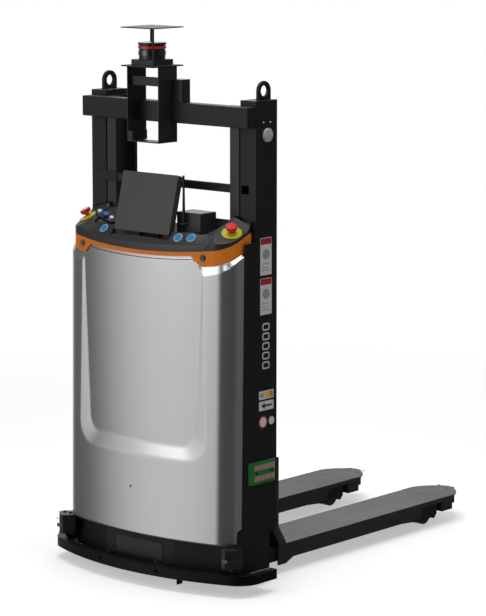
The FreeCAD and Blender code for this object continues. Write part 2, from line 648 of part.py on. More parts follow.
def build_lift():
    x, y = dim.barrelX, mast_mid
    barrel = rod("barrel_tube", "z", (x, y, dim.chassisTop), dim.barrelRadius, dim.barrelTop - dim.chassisTop)
    bore = rod("barrel_bore", "z", (x, y, dim.chassisTop + dim.barrelRadius), dim.rodRadius + dim.pinGap,
               dim.barrelTop)
    cylinder = cut("lift_cylinder_right", barrel, bore)
    node("lift_cylinders", group("lift_cylinders", cylinder, mirrored("lift_cylinder_left", cylinder)))
    rod_low = dim.chassisTop + dim.barrelRadius + dim.runGap
    half = dim.pulleyRadius - dim.chainThick - dim.runGap * 2
    bar = box("crosshead_bar", (-x - dim.barrelRadius, x + dim.barrelRadius), (y - half, y + half),
              (dim.rodTop, dim.rodTop + dim.crossheadTall))
    stem = rod("lift_rod", "z", (x, y, rod_low), dim.rodRadius, dim.rodTop - rod_low)
    pulley_z = dim.rodTop + dim.pulleyRise
    cheek_in = dim.pulleyWide / 2 + dim.runGap
    pieces = [stem]
    for name, low in (("out", dim.pulleyX + cheek_in), ("in", dim.pulleyX - cheek_in - dim.plateThick)):
        pieces.append(box(f"crosshead_cheek_{name}", (low, low + dim.plateThick), (y - half, y + half),
                          (dim.rodTop, pulley_z + half)))
    pieces.append(rod("pulley_pin", "x", (dim.pulleyX - cheek_in, y, pulley_z), dim.loadPin, cheek_in * 2))
    pieces += [mirrored(f"{piece.Name}_left", piece) for piece in pieces]
    node("lift_rods", fuse("lift_rods", bar, *pieces))
    wheel = rod("pulley_disc", "x", (dim.pulleyX - dim.pulleyWide / 2, y, pulley_z),
                dim.pulleyRadius - dim.chainThick / 2, dim.pulleyWide)
    hole = rod("pulley_bore", "x", (dim.pulleyX - dim.pulleyWide, y, pulley_z), dim.loadPin + dim.pinGap,
               dim.pulleyWide * 2)
    both_sides("chain_pulley", cut("chain_pulley_right", wheel, hole))
    build_chain(pulley_z)


def build_chain(pulley_z):
    """Leaf chain: up from the fixed anchor, over the pulley and down to the carriage."""
    x, y, thick = dim.pulleyX, mast_mid, dim.chainThick
    xs = (x - dim.chainWide / 2, x + dim.chainWide / 2)
    inner, outer = dim.pulleyRadius - thick / 2, dim.pulleyRadius + thick / 2
    fixed = box("chain_fixed_run", xs, (y - outer, y - inner), (dim.tieLow + dim.tieTall, pulley_z))
    lifting = box("chain_lifting_run", xs, (y + inner, y + outer),
                  (dim.carriageLow + dim.crossTall, pulley_z))
    ring = rod("chain_ring", "x", (xs[0], y, pulley_z), outer, dim.chainWide)
    hole = rod("chain_ring_bore", "x", (xs[0] - 1, y, pulley_z), inner, dim.chainWide + 2)
    lower = box("chain_ring_lower", (xs[0] - 1, xs[1] + 1), (y - outer * 2, y + outer * 2),
                (pulley_z - outer * 2, pulley_z))
    chain = fuse("lift_chain_right", cut("chain_wrap", ring, hole, lower), fixed, lifting)
    node("lift_chains", group("lift_chains", chain, mirrored("lift_chain_left", chain)))


# ---------------------------------------------------------------- moulded body shell

def plan(front, half, corner, rear, arc):
    """Plan of the moulded shell: a shallow front arc run into two corner arcs and straight sides."""
    centre = front + arc
    corner_x = half - corner
    corner_y = centre - root((arc - corner) * (arc - corner) - corner_x * corner_x)
    share = arc / (arc - corner)
    meet_x = corner_x * share
    meet_y = centre + (corner_y - centre) * share
    return [(-half, rear), (-half, corner_y, corner), (-meet_x, meet_y, arc), (meet_x, meet_y, corner),
            (half, corner_y), (half, rear)]


def shell_plan(lean, inset):
    front = behind(dim.shellFront) + lean + inset
    rear = behind(dim.shellRear) + lean
    return plan(front, shell_half - inset, dim.shellCorner - inset, rear, dim.shellArc - inset)


def crown_plan(inset):
    front = behind(dim.crownFront) + inset
    return plan(front, crown_half - inset, dim.crownCorner - inset, behind(dim.crownRear),
                dim.shellArc - inset)


def tilted(item, lift=0):
    """Lay a piece drawn level at the crown onto the crown's tilted plane."""
    held = group(f"{item.Name}_tilted", item)
    return settle(held, 0, behind(dim.crownFront), dim.bandTop + lift, (1, 0, 0), dim.crownTilt.number)


def crown_slab(name, outline):
    """A cutter whose front view is the outline, swept back along the crown's tilted plane."""
    reach = shell_half
    return tilted(prism(name, "xz", [outline], (-reach, reach)))


def band_outline(low, high):
    """Front view of the trim band: thin across the middle, deep lobes at both corners."""
    wide, foot, head = shell_half * 1.2, lobe_foot, lobe_head
    return [(-wide, high), (-wide, -low - dim.lobeDrop), (-foot, -low - dim.lobeDrop), (-head, -low),
            (head, -low), (foot, -low - dim.lobeDrop), (wide, -low - dim.lobeDrop), (wide, high)]


def recess_section(level, half, foot, low, high):
    """Front view of the pressed panel: sides that close in downwards, round lower corners."""
    radius = dim.recessRound
    shoulder = high - dim.recessCut
    cut_in = half - dim.recessCut * 0.7
    return (level, [(-cut_in, high), (-half, shoulder), (-foot - radius * 0.1, low + radius, radius),
                    (-foot + radius * 0.9, low), (foot - radius * 0.9, low, radius),
                    (foot + radius * 0.1, low + radius), (half, shoulder), (cut_in, high)])


def cover_skin(name, inset):
    """The cover's outside (inset 0) or inside (inset of one wall) as a closed solid."""
    low, high = dim.coverLow, shell_top
    foot, head = shell_plan(sized(0), inset), shell_plan(dim.shellLean, inset)
    main = lofted(f"{name}_main", "xy", [(low, foot), (high, head)])
    floor_inset = inset + dim.recessDeep
    floor = lofted(f"{name}_floor", "xy", [(low, shell_plan(sized(0), floor_inset)),
                                           (high, shell_plan(dim.shellLean, floor_inset))])
    lip, half, foot, base, peak = dim.recessLip, recess_half, recess_foot, dim.recessLow, dim.bandTop
    front = behind(dim.shellFront) - dim.recessDeep
    back = behind(dim.shellFront) + dim.shellCorner
    spread = lip * 0.35
    outer = recess_section(front, half + spread + inset, foot + spread + inset, base - lip - inset, peak)
    inner = recess_section(back, half - spread + inset, foot - spread + inset, base + lip * 0.4 - inset, peak)
    tool = lofted(f"{name}_panel", "xz", [outer, inner])
    drop = dim.bandTall + dim.lobeDrop
    far = shell_half * 1.5
    lobe_cut = crown_slab(f"{name}_lobe_cut", [(-far, -drop - dim.seatGap), (far, -drop - dim.seatGap),
                                               (far, far), (-far, far)])
    band_cut = crown_slab(f"{name}_band_cut", band_outline(dim.bandTall + dim.seatGap, far))
    shell = cut(f"{name}_pressed", cut(f"{name}_trimmed", main, lobe_cut), tool)
    return fuse(f"{name}_skin", shell, cut(f"{name}_floor_trimmed", floor, band_cut))


def build_cover():
    outside = cover_skin("cover_out", sized(0))
    inside = cover_skin("cover_in", dim.shellWall)
    lowered = box("cover_mouth", (-shell_half + dim.shellWall, shell_half - dim.shellWall),
                  (behind(dim.shellFront) + dim.shellCorner, dim.mastFront),
                  (dim.coverLow - 1, dim.coverLow + 1))
    nose, edge = dim.chassisNose, dim.seatGap
    front, rear, foot = behind(dim.chassisFront) - edge, dim.mastFront, dim.mastFoot
    notch = [(front, dim.floorGap), (rear, dim.floorGap), (rear, foot + nose + edge),
             (behind(dim.shellRear), foot + nose + edge), (front, foot + nose / 2 + edge)]
    deep = dim.shellCorner
    starts = (-shell_half - 1, shell_half - deep + 1)
    notches = [prism(f"cover_notch_{index}", "yz", [notch], (start, start + deep))
               for index, start in enumerate(starts)]
    node("front_cover", cut("front_cover", outside, inside, lowered, *notches))


def build_crown():
    wall = dim.shellWall
    low, high = dim.bandTop - dim.lobeTall - dim.bandTall * 2, deck_top
    ring = cut("crown_ring", prism("crown_outer", "xy", [crown_plan(sized(0))], (low, high)),
               prism("crown_inner", "xy", [crown_plan(wall)], (low - 1, high + 1)))
    band = common("band_ring", ring, crown_slab("band_slab", band_outline(dim.bandTall, sized(0))))
    eyes = []
    for side in (-1, 1):
        eyes.append(rod(f"band_eye_cut_{side + 1}", "y",
                        (eye_x * side, behind(dim.crownFront), eye_z), dim.sensorEye, dim.shellCorner))
    node("trim_band", cut("trim_band", band, *eyes))
    lenses = [rod(f"band_lens_{index}", "y", (eye_x * side, behind(dim.eyeY), eye_z),
                  dim.sensorEye, dim.eyeLong) for index, side in enumerate((-1, 1))]
    node("band_sensors", group("band_sensors", *lenses))


def pod_fall():
    """Outward fall of a pod's top, from its ridge to the shell's corner."""
    return dim.podTall / (shell_half - pod_half - dim.podFlank)


def pod_profile(side):
    """Front view of a corner pod above the crown plane: steep inner flank, top that falls outwards."""
    half, top = pod_half, dim.podTall + dim.podRise
    far = shell_half * 1.5
    corners = [(half, 0), (far, 0), (far, top - pod_fall() * (far - half - dim.podFlank)),
               (half + dim.podFlank, top), (half, dim.shellWall)]
    return corners if side > 0 else [(-a, b) for a, b in reversed(corners)]


def build_deck():
    """Console: a lip over the band, a steep fascia, a tray behind it and a pod at each corner."""
    wall, half, lip = dim.shellWall, pod_half, dim.lipTall
    far = shell_half * 1.5
    body = prism("deck_block", "xy", [crown_plan(dim.seatGap)], (dim.bandTop - wall, deck_top))
    steep = dim.consoleTilt - dim.crownTilt
    ridge_y, ridge_z = dim.consoleLong * cosine(steep), dim.consoleLong * sine(steep)
    toe = dim.consoleLong / 2
    toe_z = lip - toe * sine(steep) / cosine(steep)
    fascia = [(-toe, 0), (ridge_y, 0), (ridge_y, lip + ridge_z), (-toe, toe_z)]
    bar = tilted(prism("deck_fascia", "yz", [fascia], (-half - wall, half + wall)))
    notch = box("deck_notch", (-dim.panelWide / 2 - dim.slideGap, dim.panelWide / 2 + dim.slideGap),
                (behind(dim.panelFront) - dim.notchDeep, behind(dim.panelFront) + dim.panelThick * 2),
                (panel_low - dim.notchDeep * 1.5, deck_top))
    tray = tilted(box("deck_tray", (-half - wall, half + wall), (ridge_y - wall, far), (0, wall)))
    pods = [crown_slab(f"deck_pod_{side + 1}", pod_profile(side)) for side in (-1, 1)]
    level = fuse("deck_parts", cut("deck_bar", bar, notch), tray, *pods)
    node("console_deck", common("console_deck", body, level))


def build_body_frame():
    """Sheet frame between mast and shell: a rear sheet and a black strip up each side."""
    wall, front = dim.shellWall, dim.mastFront
    low, top = dim.mastFoot + dim.chassisNose, frame_top
    lean = dim.shellLean * ((top - dim.coverLow) / (shell_top - dim.coverLow))
    lean_low = dim.shellLean * ((low - dim.coverLow) / (shell_top - dim.coverLow))
    edge = behind(dim.shellRear)
    side = [(edge + lean_low, low), (front, low), (front, top), (edge + lean, top)]
    strip = prism("frame_strip", "yz", [side], (dim.mastHalf - wall * 1.5, dim.mastHalf))
    inner = dim.mastHalf - wall * 1.5
    plain = box("frame_sheet_blank", (-plate_in, plate_in), (front - wall * 2, front - wall),
                (dim.chassisTop, dim.bandTop - dim.lobeTall))
    reach = steer_circle + dim.postWall + dim.slideGap
    opening = box("frame_drive_opening", (-reach, reach), (front - wall * 2 - 1, front),
                  (dim.chassisTop - 1, dim.chassisTop + dim.bearingTall * 2))
    sheet = cut("frame_sheet", plain, opening)
    hems = [box(f"frame_hem_{index}", (low_x, high_x), (front - wall, front), (low, top - dim.lobeTall))
            for index, (low_x, high_x) in enumerate(((post_in, inner), (-inner, -post_in)))]
    node("body_frame", fuse("body_frame", strip, mirrored("frame_strip_left", strip), sheet, *hems))
    battery = box("battery_crate", (-dim.batteryHalf, dim.batteryHalf),
                  (front - wall * 2 - dim.batteryDeep, front - wall * 2),
                  (dim.batteryLow, dim.batteryLow + dim.batteryTall))
    node("battery_pack", rounded("battery_rounded", battery, dim.shellWall, upright))


# ---------------------------------------------------------------- console fittings

def on_crown(x, depth, rise, slope):
    """World place and turn of a seat at one height above the crown's tilted plane."""
    tilt = dim.crownTilt
    along = (depth - dim.crownFront + rise * sine(tilt)) / cosine(tilt)
    y = behind(dim.crownFront) + along * cosine(tilt) - rise * sine(tilt)
    z = dim.bandTop + along * sine(tilt) + rise * cosine(tilt)
    lean = FreeCAD.Rotation(FreeCAD.Vector(1, 0, 0), float(tilt))
    turn = lean * FreeCAD.Rotation(FreeCAD.Vector(0, 1, 0), math.degrees(math.atan(float(slope))))
    return (x, y, z), (tuple(turn.Axis), math.degrees(turn.Angle))


def build_stops():
    rise = dim.podTall + dim.podRise - (stop_x - pod_half - dim.podFlank) * pod_fall()
    seat, turn = on_crown(stop_x, dim.stopY, rise, pod_fall())
    ring = rod("stop_ring_disc", "z", (0, 0, 0), dim.stopRing, dim.ringTall)
    collar = rod("stop_collar", "z", (0, 0, dim.ringTall), dim.stopHead * 0.7, dim.ringTall)
    socket = rod("stop_socket", "z", (0, 0, dim.ringTall), dim.stopStem + dim.pinGap, dim.ringTall * 2)
    base = settle(cut("stop_base_right", fuse("stop_base_blank", ring, collar), socket), *seat, *turn)
    node("stop_bases", group("stop_bases", base, mirrored("stop_base_left", base)))
    head_low = dim.ringTall * 2 + dim.stopStroke + dim.runGap
    stem_low = dim.ringTall + dim.stopStroke + dim.seatGap
    stem = rod("stop_stem", "z", (0, 0, stem_low), dim.stopStem, dim.stopTall)
    neck = cone("stop_neck", (0, 0, head_low), dim.stopHead * 0.72, dim.stopHead, dim.stopTall * 0.4)
    crown = rod("stop_crown", "z", (0, 0, head_low + dim.stopTall * 0.4), dim.stopHead, dim.stopTall * 0.6)
    head = settle(fuse("stop_button_body", stem, neck, crown), *seat, *turn)
    both_sides("stop_button", head)


def build_cluster():
    """Three push buttons on an oval pad that lies on the inner flank of the left pod."""
    steep = (dim.podTall + dim.podRise - dim.shellWall) / dim.podFlank
    rise = dim.shellWall + (cluster_x - pod_half) * steep
    seat, turn = on_crown(-cluster_x, dim.clusterY, rise, steep)
    half, pitch, deep = dim.clusterWide / 2, dim.buttonPitch, dim.clusterDeep
    ends = [rod(f"cluster_end_{index + 1}", "z", (pitch * index, 0, 0), half, deep) for index in (-1, 1)]
    middle = box("cluster_middle", (-pitch, pitch), (-half, half), (0, deep))
    bore = dim.buttonRadius + dim.pinGap
    bores = [rod(f"cluster_bore_{index + 1}", "z", (pitch * index, 0, -1), bore, deep + 2)
             for index in (-1, 0, 1)]
    pad = cut("button_pad_body", fuse("button_pad_blank", *ends, middle), *bores)
    node("button_pad", settle(pad, *seat, *turn))
    for index, label in ((-1, "white_button_outer"), (0, "blue_button"), (1, "white_button_inner")):
        scale = 1 if index else dim.blueScale
        low = dim.buttonStroke + dim.seatGap
        stem = rod(f"{label}_stem", "z", (pitch * index, 0, low), dim.buttonRadius, deep)
        cap = rod(f"{label}_cap", "z", (pitch * index, 0, low + deep), dim.buttonRadius * scale,
                  dim.buttonTall * scale)
        node(label, settle(fuse(f"{label}_body", stem, cap), *seat, *turn))


def under_tray(name):
    """Cutter that trims feet flush with the console's tilted tray."""
    far = shell_half
    return tilted(box(name, (-far, far), (-far / 2, far), (-far, dim.shellWall)))


def build_display():
    half, thick = dim.panelWide / 2, dim.panelThick
    lean = -dim.panelLean
    x, y, z = 0, behind(dim.panelFront), panel_low
    slab = box("panel_slab", (-half, half), (0, thick), (0, dim.panelTall))
    knuckle = rod("panel_knuckle", "x", (-dim.knuckleHalf, thick + dim.knuckleRadius, dim.knuckleUp),
                  dim.knuckleRadius, dim.knuckleHalf * 2)
    web = box("panel_web", (-dim.knuckleHalf, dim.knuckleHalf), (thick - 1, thick + dim.knuckleRadius),
              (dim.knuckleUp - dim.knuckleRadius, dim.knuckleUp + dim.knuckleRadius))
    pin = rod("panel_pin_bore", "x", (-half, thick + dim.knuckleRadius, dim.knuckleUp),
              dim.casterPin + dim.pinGap, half * 2)
    soft = rounded("panel_rounded", slab, dim.panelRound,
                   lambda edge: abs(edge.BoundBox.YLength - float(thick)) < 0.1)
    body = cut("display_panel_body", fuse("panel_blank", soft, web, knuckle), pin)
    node("display_panel", settle(body, x, y, z, (1, 0, 0), lean.number))
    gap = dim.knuckleHalf + dim.runGap
    hinge_y, hinge_z = thick + dim.knuckleRadius, dim.knuckleUp
    arms = []
    ear, back = dim.knuckleRadius - dim.runGap, hinge_y + dim.knuckleRadius * 2
    for name, low in (("right", gap), ("left", -gap - dim.plateThick)):
        arms.append(box(f"stand_arm_{name}", (low, low + dim.plateThick), (hinge_y, back),
                        (-dim.standDrop, hinge_z)))
        arms.append(rod(f"stand_ear_{name}", "x", (low, hinge_y, hinge_z), ear, dim.plateThick))
    bridge = box("stand_bridge", (-gap, gap), (hinge_y + dim.knuckleRadius + dim.slideGap, back),
                 (-dim.standDrop, hinge_z))
    axle = rod("stand_pin", "x", (-gap, hinge_y, hinge_z), dim.casterPin, gap * 2)
    stand = fuse("stand_blank", *arms, bridge, axle)
    leaning = settle(stand, x, y, z, (1, 0, 0), lean.number)
    node("display_stand", cut("display_stand", leaning, under_tray("stand_foot_trim")))


def build_equipment():
    x, front = dim.equipmentX, behind(dim.equipmentFront)
    back = behind(dim.crownRear)
    crate = box("equipment_crate", (x, x + dim.equipmentWide), (front, back),
                (frame_top, equipment_top))
    shelf = box("equipment_shelf", (dim.antennaX - dim.shelfHalf, dim.antennaX + dim.shelfHalf),
                (behind(dim.antennaY) - dim.shelfHalf, front), (shelf_z - dim.shellWall, shelf_z))
    blank = fuse("equipment_blank", crate, shelf)
    node("equipment_box", cut("equipment_box", blank, under_tray("equipment_foot_trim")))
    y, z = behind(dim.antennaY), shelf_z
    ferrule = rod("antenna_ferrule", "z", (dim.antennaX, y, z), dim.antennaFoot, dim.antennaFoot * 3)
    mast = cone("antenna_mast", (dim.antennaX, y, z + dim.antennaFoot * 3), dim.antennaFoot * 0.85,
                dim.antennaFoot * 0.55, antenna_top - z - dim.antennaFoot * 3)
    node("antenna", fuse("antenna", ferrule, mast))


# ---------------------------------------------------------------- lower front

def build_skirt():
    wall = dim.shellWall
    edge, back = behind(dim.skirtBack), behind(dim.chassisFront)
    side, turn = plate_in, dim.skirtBreak
    face, rim, bend = edge - wall, back - wall * 1.3, turn + wall / 4
    outline = [(-side, back), (-side, rim), (-bend, face), (bend, face), (side, rim), (side, back),
               (turn, edge), (-turn, edge)]
    node("front_skirt", prism("front_skirt", "xy", [outline], (dim.skirtLow, dim.coverLow)))
    plate = box("service_plate", (-dim.serviceHalf, dim.serviceHalf), (edge - wall * 1.5, edge - wall),
                (dim.skirtLow, dim.skirtLow + dim.serviceTall))
    node("service_panel", plate)
    thick = dim.shellWall * 0.75
    strap_y = edge + wall * 2
    strap = box("antistatic_strap", (dim.strapX, dim.strapX + thick),
                (strap_y, strap_y + dim.strapWide), (dim.strapGap, deck_low))
    node("antistatic_strap", strap)


def bumper_plan(inset):
    return plan(behind(dim.bumperFront) + inset, bumper_half - inset, dim.bumperCorner - inset,
                behind(dim.bumperRear), dim.bumperArc - inset)


def build_bumper():
    thick, low = dim.bumperThick, dim.bumperLow
    high = low + dim.bumperTall
    rim = cut("bumper_rim", prism("bumper_outer", "xy", [bumper_plan(sized(0))], (low, high)),
              prism("bumper_inner", "xy", [bumper_plan(thick)], (low - 1, high + 1)))
    web_slab = box("bumper_web_slab", (-bumper_half, bumper_half),
                   (behind(dim.bumperFront), behind(dim.webRear)), (low, low + dim.webThick))
    web_area = prism("bumper_web_area", "xy", [bumper_plan(sized(1))], (low, low + dim.webThick))
    guide = rod("bumper_guide_bore", "y", (dim.guideX, behind(dim.bumperFront), dim.guideZ),
                dim.guideRadius + dim.pinGap, -dim.bumperFront)
    block = box("bumper_block", (dim.guideX - dim.guideRadius * 2, dim.guideX + dim.guideRadius * 2),
                (behind(dim.webRear) - dim.bumperThick, behind(dim.webRear)), (low, high))
    body = fuse("bumper_blank", rim, common("bumper_web", web_slab, web_area), block,
                mirrored("bumper_block_left", block))
    node("front_bumper", cut("front_bumper", body, guide, mirrored("bumper_guide_bore_left", guide)))


def build_corner_sensors():
    half, tall, cut_back = dim.cornerWide / 2, dim.cornerTall, dim.cornerWide * 0.16
    deep = half * 0.8
    outline = [(-half + cut_back, -deep), (half - cut_back, -deep), (half, -deep + cut_back), (half, deep),
               (-half, deep), (-half, -deep + cut_back)]
    case = prism("corner_case", "xy", [outline], (0, tall))
    window = box("corner_window", (-half * 0.6, half * 0.6), (-deep - 1, -deep + dim.shellWall),
                 (tall * 0.42, tall * 0.78))
    sensor = settle(cut("corner_sensor_right", case, window), sensor_x, behind(dim.cornerY), dim.cornerLow,
                    (0, 0, 1), 45)
    node("corner_sensors", group("corner_sensors", sensor, mirrored("corner_sensor_left", sensor)))
    wall = dim.plateThick
    y, back, shelf = behind(dim.cornerY), behind(dim.chassisFront), dim.cornerLow - wall
    arm = box("sensor_arm", (plate_in, sensor_x + half * 0.6), (y - half * 0.6, back),
              (shelf, dim.cornerLow))
    gusset = box("sensor_gusset", (plate_in, dim.mastHalf), (y + half * 0.3, back), (dim.skirtLow, shelf))
    bracket = fuse("sensor_bracket_right", arm, gusset)
    node("sensor_brackets", group("sensor_brackets", bracket, mirrored("sensor_bracket_left", bracket)))


# ---------------------------------------------------------------- sensor tower and side fittings

def build_tower():
    x, half, sheet = dim.towerX, dim.towerHalf, dim.shellWall
    front, deep = behind(dim.towerFront), dim.towerDeep
    low, top = tower_low, tower_top
    beam_front = dim.mastFront - dim.beamDeep
    slot = box("tower_slot", (x - half * 2, x + half * 2), (beam_front, beam_front + deep),
               (beam_low, beam_top))
    cheeks = [box(f"tower_cheek_{index}", (edge, edge + sheet), (front, front + deep), (low, top))
              for index, edge in enumerate((x - half, x + half - sheet))]
    xs = (x - half, x + half)
    bridge = box("tower_bridge", xs, (front + dim.bridgeBack, front + dim.bridgeBack + sheet),
                 (bridge_low, bridge_low + dim.bridgeTall))
    clamp = box("tower_clamp", xs, (beam_front - sheet, beam_front), (beam_low, beam_top))
    foot = box("tower_foot", xs, (front, front + deep * 0.6), (low, low + sheet))
    probe = box("tower_probe", (x - half + sheet, x - half + sheet + dim.probeWide),
                (front, front + deep * 0.8), (low + sheet, low + sheet + dim.probeTall))
    bracket = cut("tower_cheeks", fuse("tower_blank", *cheeks), slot)
    node("tower_bracket", fuse("tower_bracket", bracket, bridge, clamp, foot, probe))
    y, wide, plate = behind(dim.towerY), dim.platterWide / 2, sheet * 1.25
    platter = box("tower_platter", (x - wide, x + wide), (y - wide, y + wide), (top, top + plate))
    head = dim.headWide / 2
    head_low = top + plate
    block = box("tower_head", (x - head, x + head), (y - head, y + head), (head_low, head_low + dim.headTall))
    soft_head = rounded("tower_head_round", block, sheet, upright)
    node("sensor_platter", fuse("sensor_platter", platter, soft_head))
    lidar_low = top + plate + dim.headTall
    body = rod("lidar_body", "z", (x, y, lidar_low), dim.lidarRadius * 0.96, dim.lidarTall)
    cap_low = lidar_low + dim.lidarTall - dim.capTall
    cap = rod("lidar_cap", "z", (x, y, cap_low), dim.lidarRadius * 1.03, dim.capTall)
    node("scan_lidar", fuse("scan_lidar", body, cap))
    corner = wide - dim.guardRod * 2
    rods = [rod(f"guard_rod_{index}", "z", (x + corner * side, y - corner * side, top + plate), dim.guardRod,
                guard_top - sheet - top - plate) for index, side in enumerate((-1, 1))]
    roof = box("guard_roof", (x - wide, x + wide), (y - wide, y + wide), (guard_top - sheet, guard_top))
    node("lidar_guard", fuse("lidar_guard", roof, *rods))
    crate = box("beam_box", (x + half + dim.seatGap, x + half + dim.seatGap + dim.beamBoxWide),
                (beam_front + dim.seatGap, dim.mastFront - dim.seatGap),
                (beam_top, beam_top + dim.beamBoxTall))
    node("beam_sensor_box", rounded("beam_box_round", crate, dim.beamBoxRound, upright))


def build_side_fittings():
    half = dim.mastHalf
    base = rod("lamp_base", "x", (half, behind(dim.lampY), lamp_z), dim.lampRadius, dim.lampThick * 0.6)
    DOC.recompute()
    dome = rounded("lamp_dome", base, dim.lampThick * 0.4, lambda edge: edge.BoundBox.XMin > float(half) + 1)
    node("side_lamps", group("side_lamps", dome, mirrored("lamp_left", dome)))
    y, low = behind(dim.chargeY), dim.chargeLow
    back, deep, thick = dim.chargeDeep / 2, dim.chargeDeep, dim.chargeThick
    bevel = thick * 0.6
    profile = [(y - back, half), (y + back, half), (y + back, half + thick - bevel / 2),
               (y + back - bevel, half + thick),
               (y - back + bevel * 2, half + thick), (y - back, half + bevel / 2)]
    block = prism("charge_block", "xy", [[(b, a) for a, b in profile]], (low, low + dim.chargeTall))
    node("charge_block", block)


# ---------------------------------------------------------------- build and write

def write_nodes():
    DOC.recompute()
    failed = [item.Name for item in DOC.Objects if "Invalid" in item.State or "Error" in item.State]
    broken = [item.Label for item in NODES if item.Shape.isNull() or not item.Shape.isValid()]
    if failed or broken:
        raise RuntimeError(f"failed: {failed} broken: {broken}")
    os.makedirs("parts", exist_ok=True)
    for item in NODES:
        item.Shape.exportStep(f"parts/{item.Label}.step")
        size = item.Shape.BoundBox
        print(f"{item.Label}: {len(item.Shape.Solids)} solids, {item.Shape.Volume / 1000:.0f} cm3, "
              f"x {size.XMin:.0f}..{size.XMax:.0f} y {size.YMin:.0f}..{size.YMax:.0f} "
              f"z {size.ZMin:.0f}..{size.ZMax:.0f}")


for build in (build_posts, build_rails, build_cross_members, build_lifting_eyes, build_chassis, build_legs,
              build_drive, build_casters, build_forks, build_carriage, build_lift, build_cover, build_crown,
              build_deck, build_body_frame, build_stops, build_cluster, build_display, build_equipment,
              build_skirt, build_bumper, build_corner_sensors, build_tower, build_side_fittings):
    build()
write_nodes()
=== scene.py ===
import bpy
import bmesh
import json
import math
from mathutils import Matrix, Vector
from mathutils.bvhtree import BVHTree


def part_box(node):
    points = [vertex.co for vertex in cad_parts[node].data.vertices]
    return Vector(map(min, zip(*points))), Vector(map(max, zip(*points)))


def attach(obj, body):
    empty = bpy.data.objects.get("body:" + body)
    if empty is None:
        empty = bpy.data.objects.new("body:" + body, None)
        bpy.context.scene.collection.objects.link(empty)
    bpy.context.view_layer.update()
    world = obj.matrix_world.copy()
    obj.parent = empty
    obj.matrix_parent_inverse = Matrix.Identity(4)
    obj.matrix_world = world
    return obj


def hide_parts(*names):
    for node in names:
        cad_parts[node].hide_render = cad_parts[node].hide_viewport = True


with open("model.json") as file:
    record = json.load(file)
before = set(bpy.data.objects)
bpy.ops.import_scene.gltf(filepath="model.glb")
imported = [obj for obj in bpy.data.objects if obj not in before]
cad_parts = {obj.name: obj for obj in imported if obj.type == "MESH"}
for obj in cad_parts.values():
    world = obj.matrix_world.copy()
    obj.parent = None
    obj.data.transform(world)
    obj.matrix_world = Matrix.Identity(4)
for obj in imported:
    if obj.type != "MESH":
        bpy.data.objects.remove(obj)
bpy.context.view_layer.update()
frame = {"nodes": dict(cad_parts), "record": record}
nodes = frame["nodes"]
record = frame["record"]
bodyOf = {node: body for body, members in record["behaviour"]["bodies"].items() for node in members}
slotOf = {part["node"]: part["material_slot"] for part in record["subparts"]}
mastLow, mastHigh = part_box("mast_posts")
mastFront, sideX = mastLow.y, mastHigh.x
print("frame loaded:", len(nodes), "nodes")

# shader helpers: every group reads Object coordinates, so patterns stay put on the piece


def feed(tree, socket, value):
    # another node's output is linked, anything else is set on the input itself
    if isinstance(value, bpy.types.NodeSocket):
        tree.links.new(value, socket)
    else:
        socket.default_value = value


def addNode(tree, kind, **values):
    # names with a capital are inputs, the rest are settings of the node
    made = tree.nodes.new(kind)
    for name, value in values.items():
        if name[0].isupper():
            feed(tree, made.inputs[name], value)
        else:
            setattr(made, name, value)
    return made


def objectPlace(tree):
    return tree.nodes.new("ShaderNodeTexCoord").outputs["Object"]


def calc(tree, operation, first, second=0.0, clamp=False):
    made = addNode(tree, "ShaderNodeMath", operation=operation, use_clamp=clamp)
    feed(tree, made.inputs[0], first)
    feed(tree, made.inputs[1], second)
    return made.outputs[0]


def mixColor(tree, share, first, second):
    # the colour sockets come after those of the other kinds of value
    made = addNode(tree, "ShaderNodeMix", data_type="RGBA")
    firstInput, secondInput, colorOutput = 6, 7, 2
    feed(tree, made.inputs["Factor"], share)
    feed(tree, made.inputs[firstInput], first)
    feed(tree, made.inputs[secondInput], second)
    return made.outputs[colorOutput]


def fadeNode(tree, value, start, end, top=1.0):
    # 0 at the start and below, the top level at the end and beyond
    made = addNode(tree, "ShaderNodeMapRange", interpolation_type="SMOOTHSTEP", Value=value)
    for name, level in (("From Min", start), ("From Max", end), ("To Min", 0.0), ("To Max", top)):
        made.inputs[name].default_value = level
    return made.outputs["Result"]


def newGroup(name, **inputs):
    # each input comes with its kind; every group gives colour, roughness and height
    outputs = {"Color": "Color", "Roughness": "Float", "Height": "Float"}
    group = bpy.data.node_groups.new(name, "ShaderNodeTree")
    for way, sockets in (("INPUT", inputs), ("OUTPUT", outputs)):
        for label, kind in sockets.items():
            group.interface.new_socket(label, in_out=way, socket_type="NodeSocket" + kind)
    return group, group.nodes.new("NodeGroupInput").outputs, group.nodes.new("NodeGroupOutput").inputs


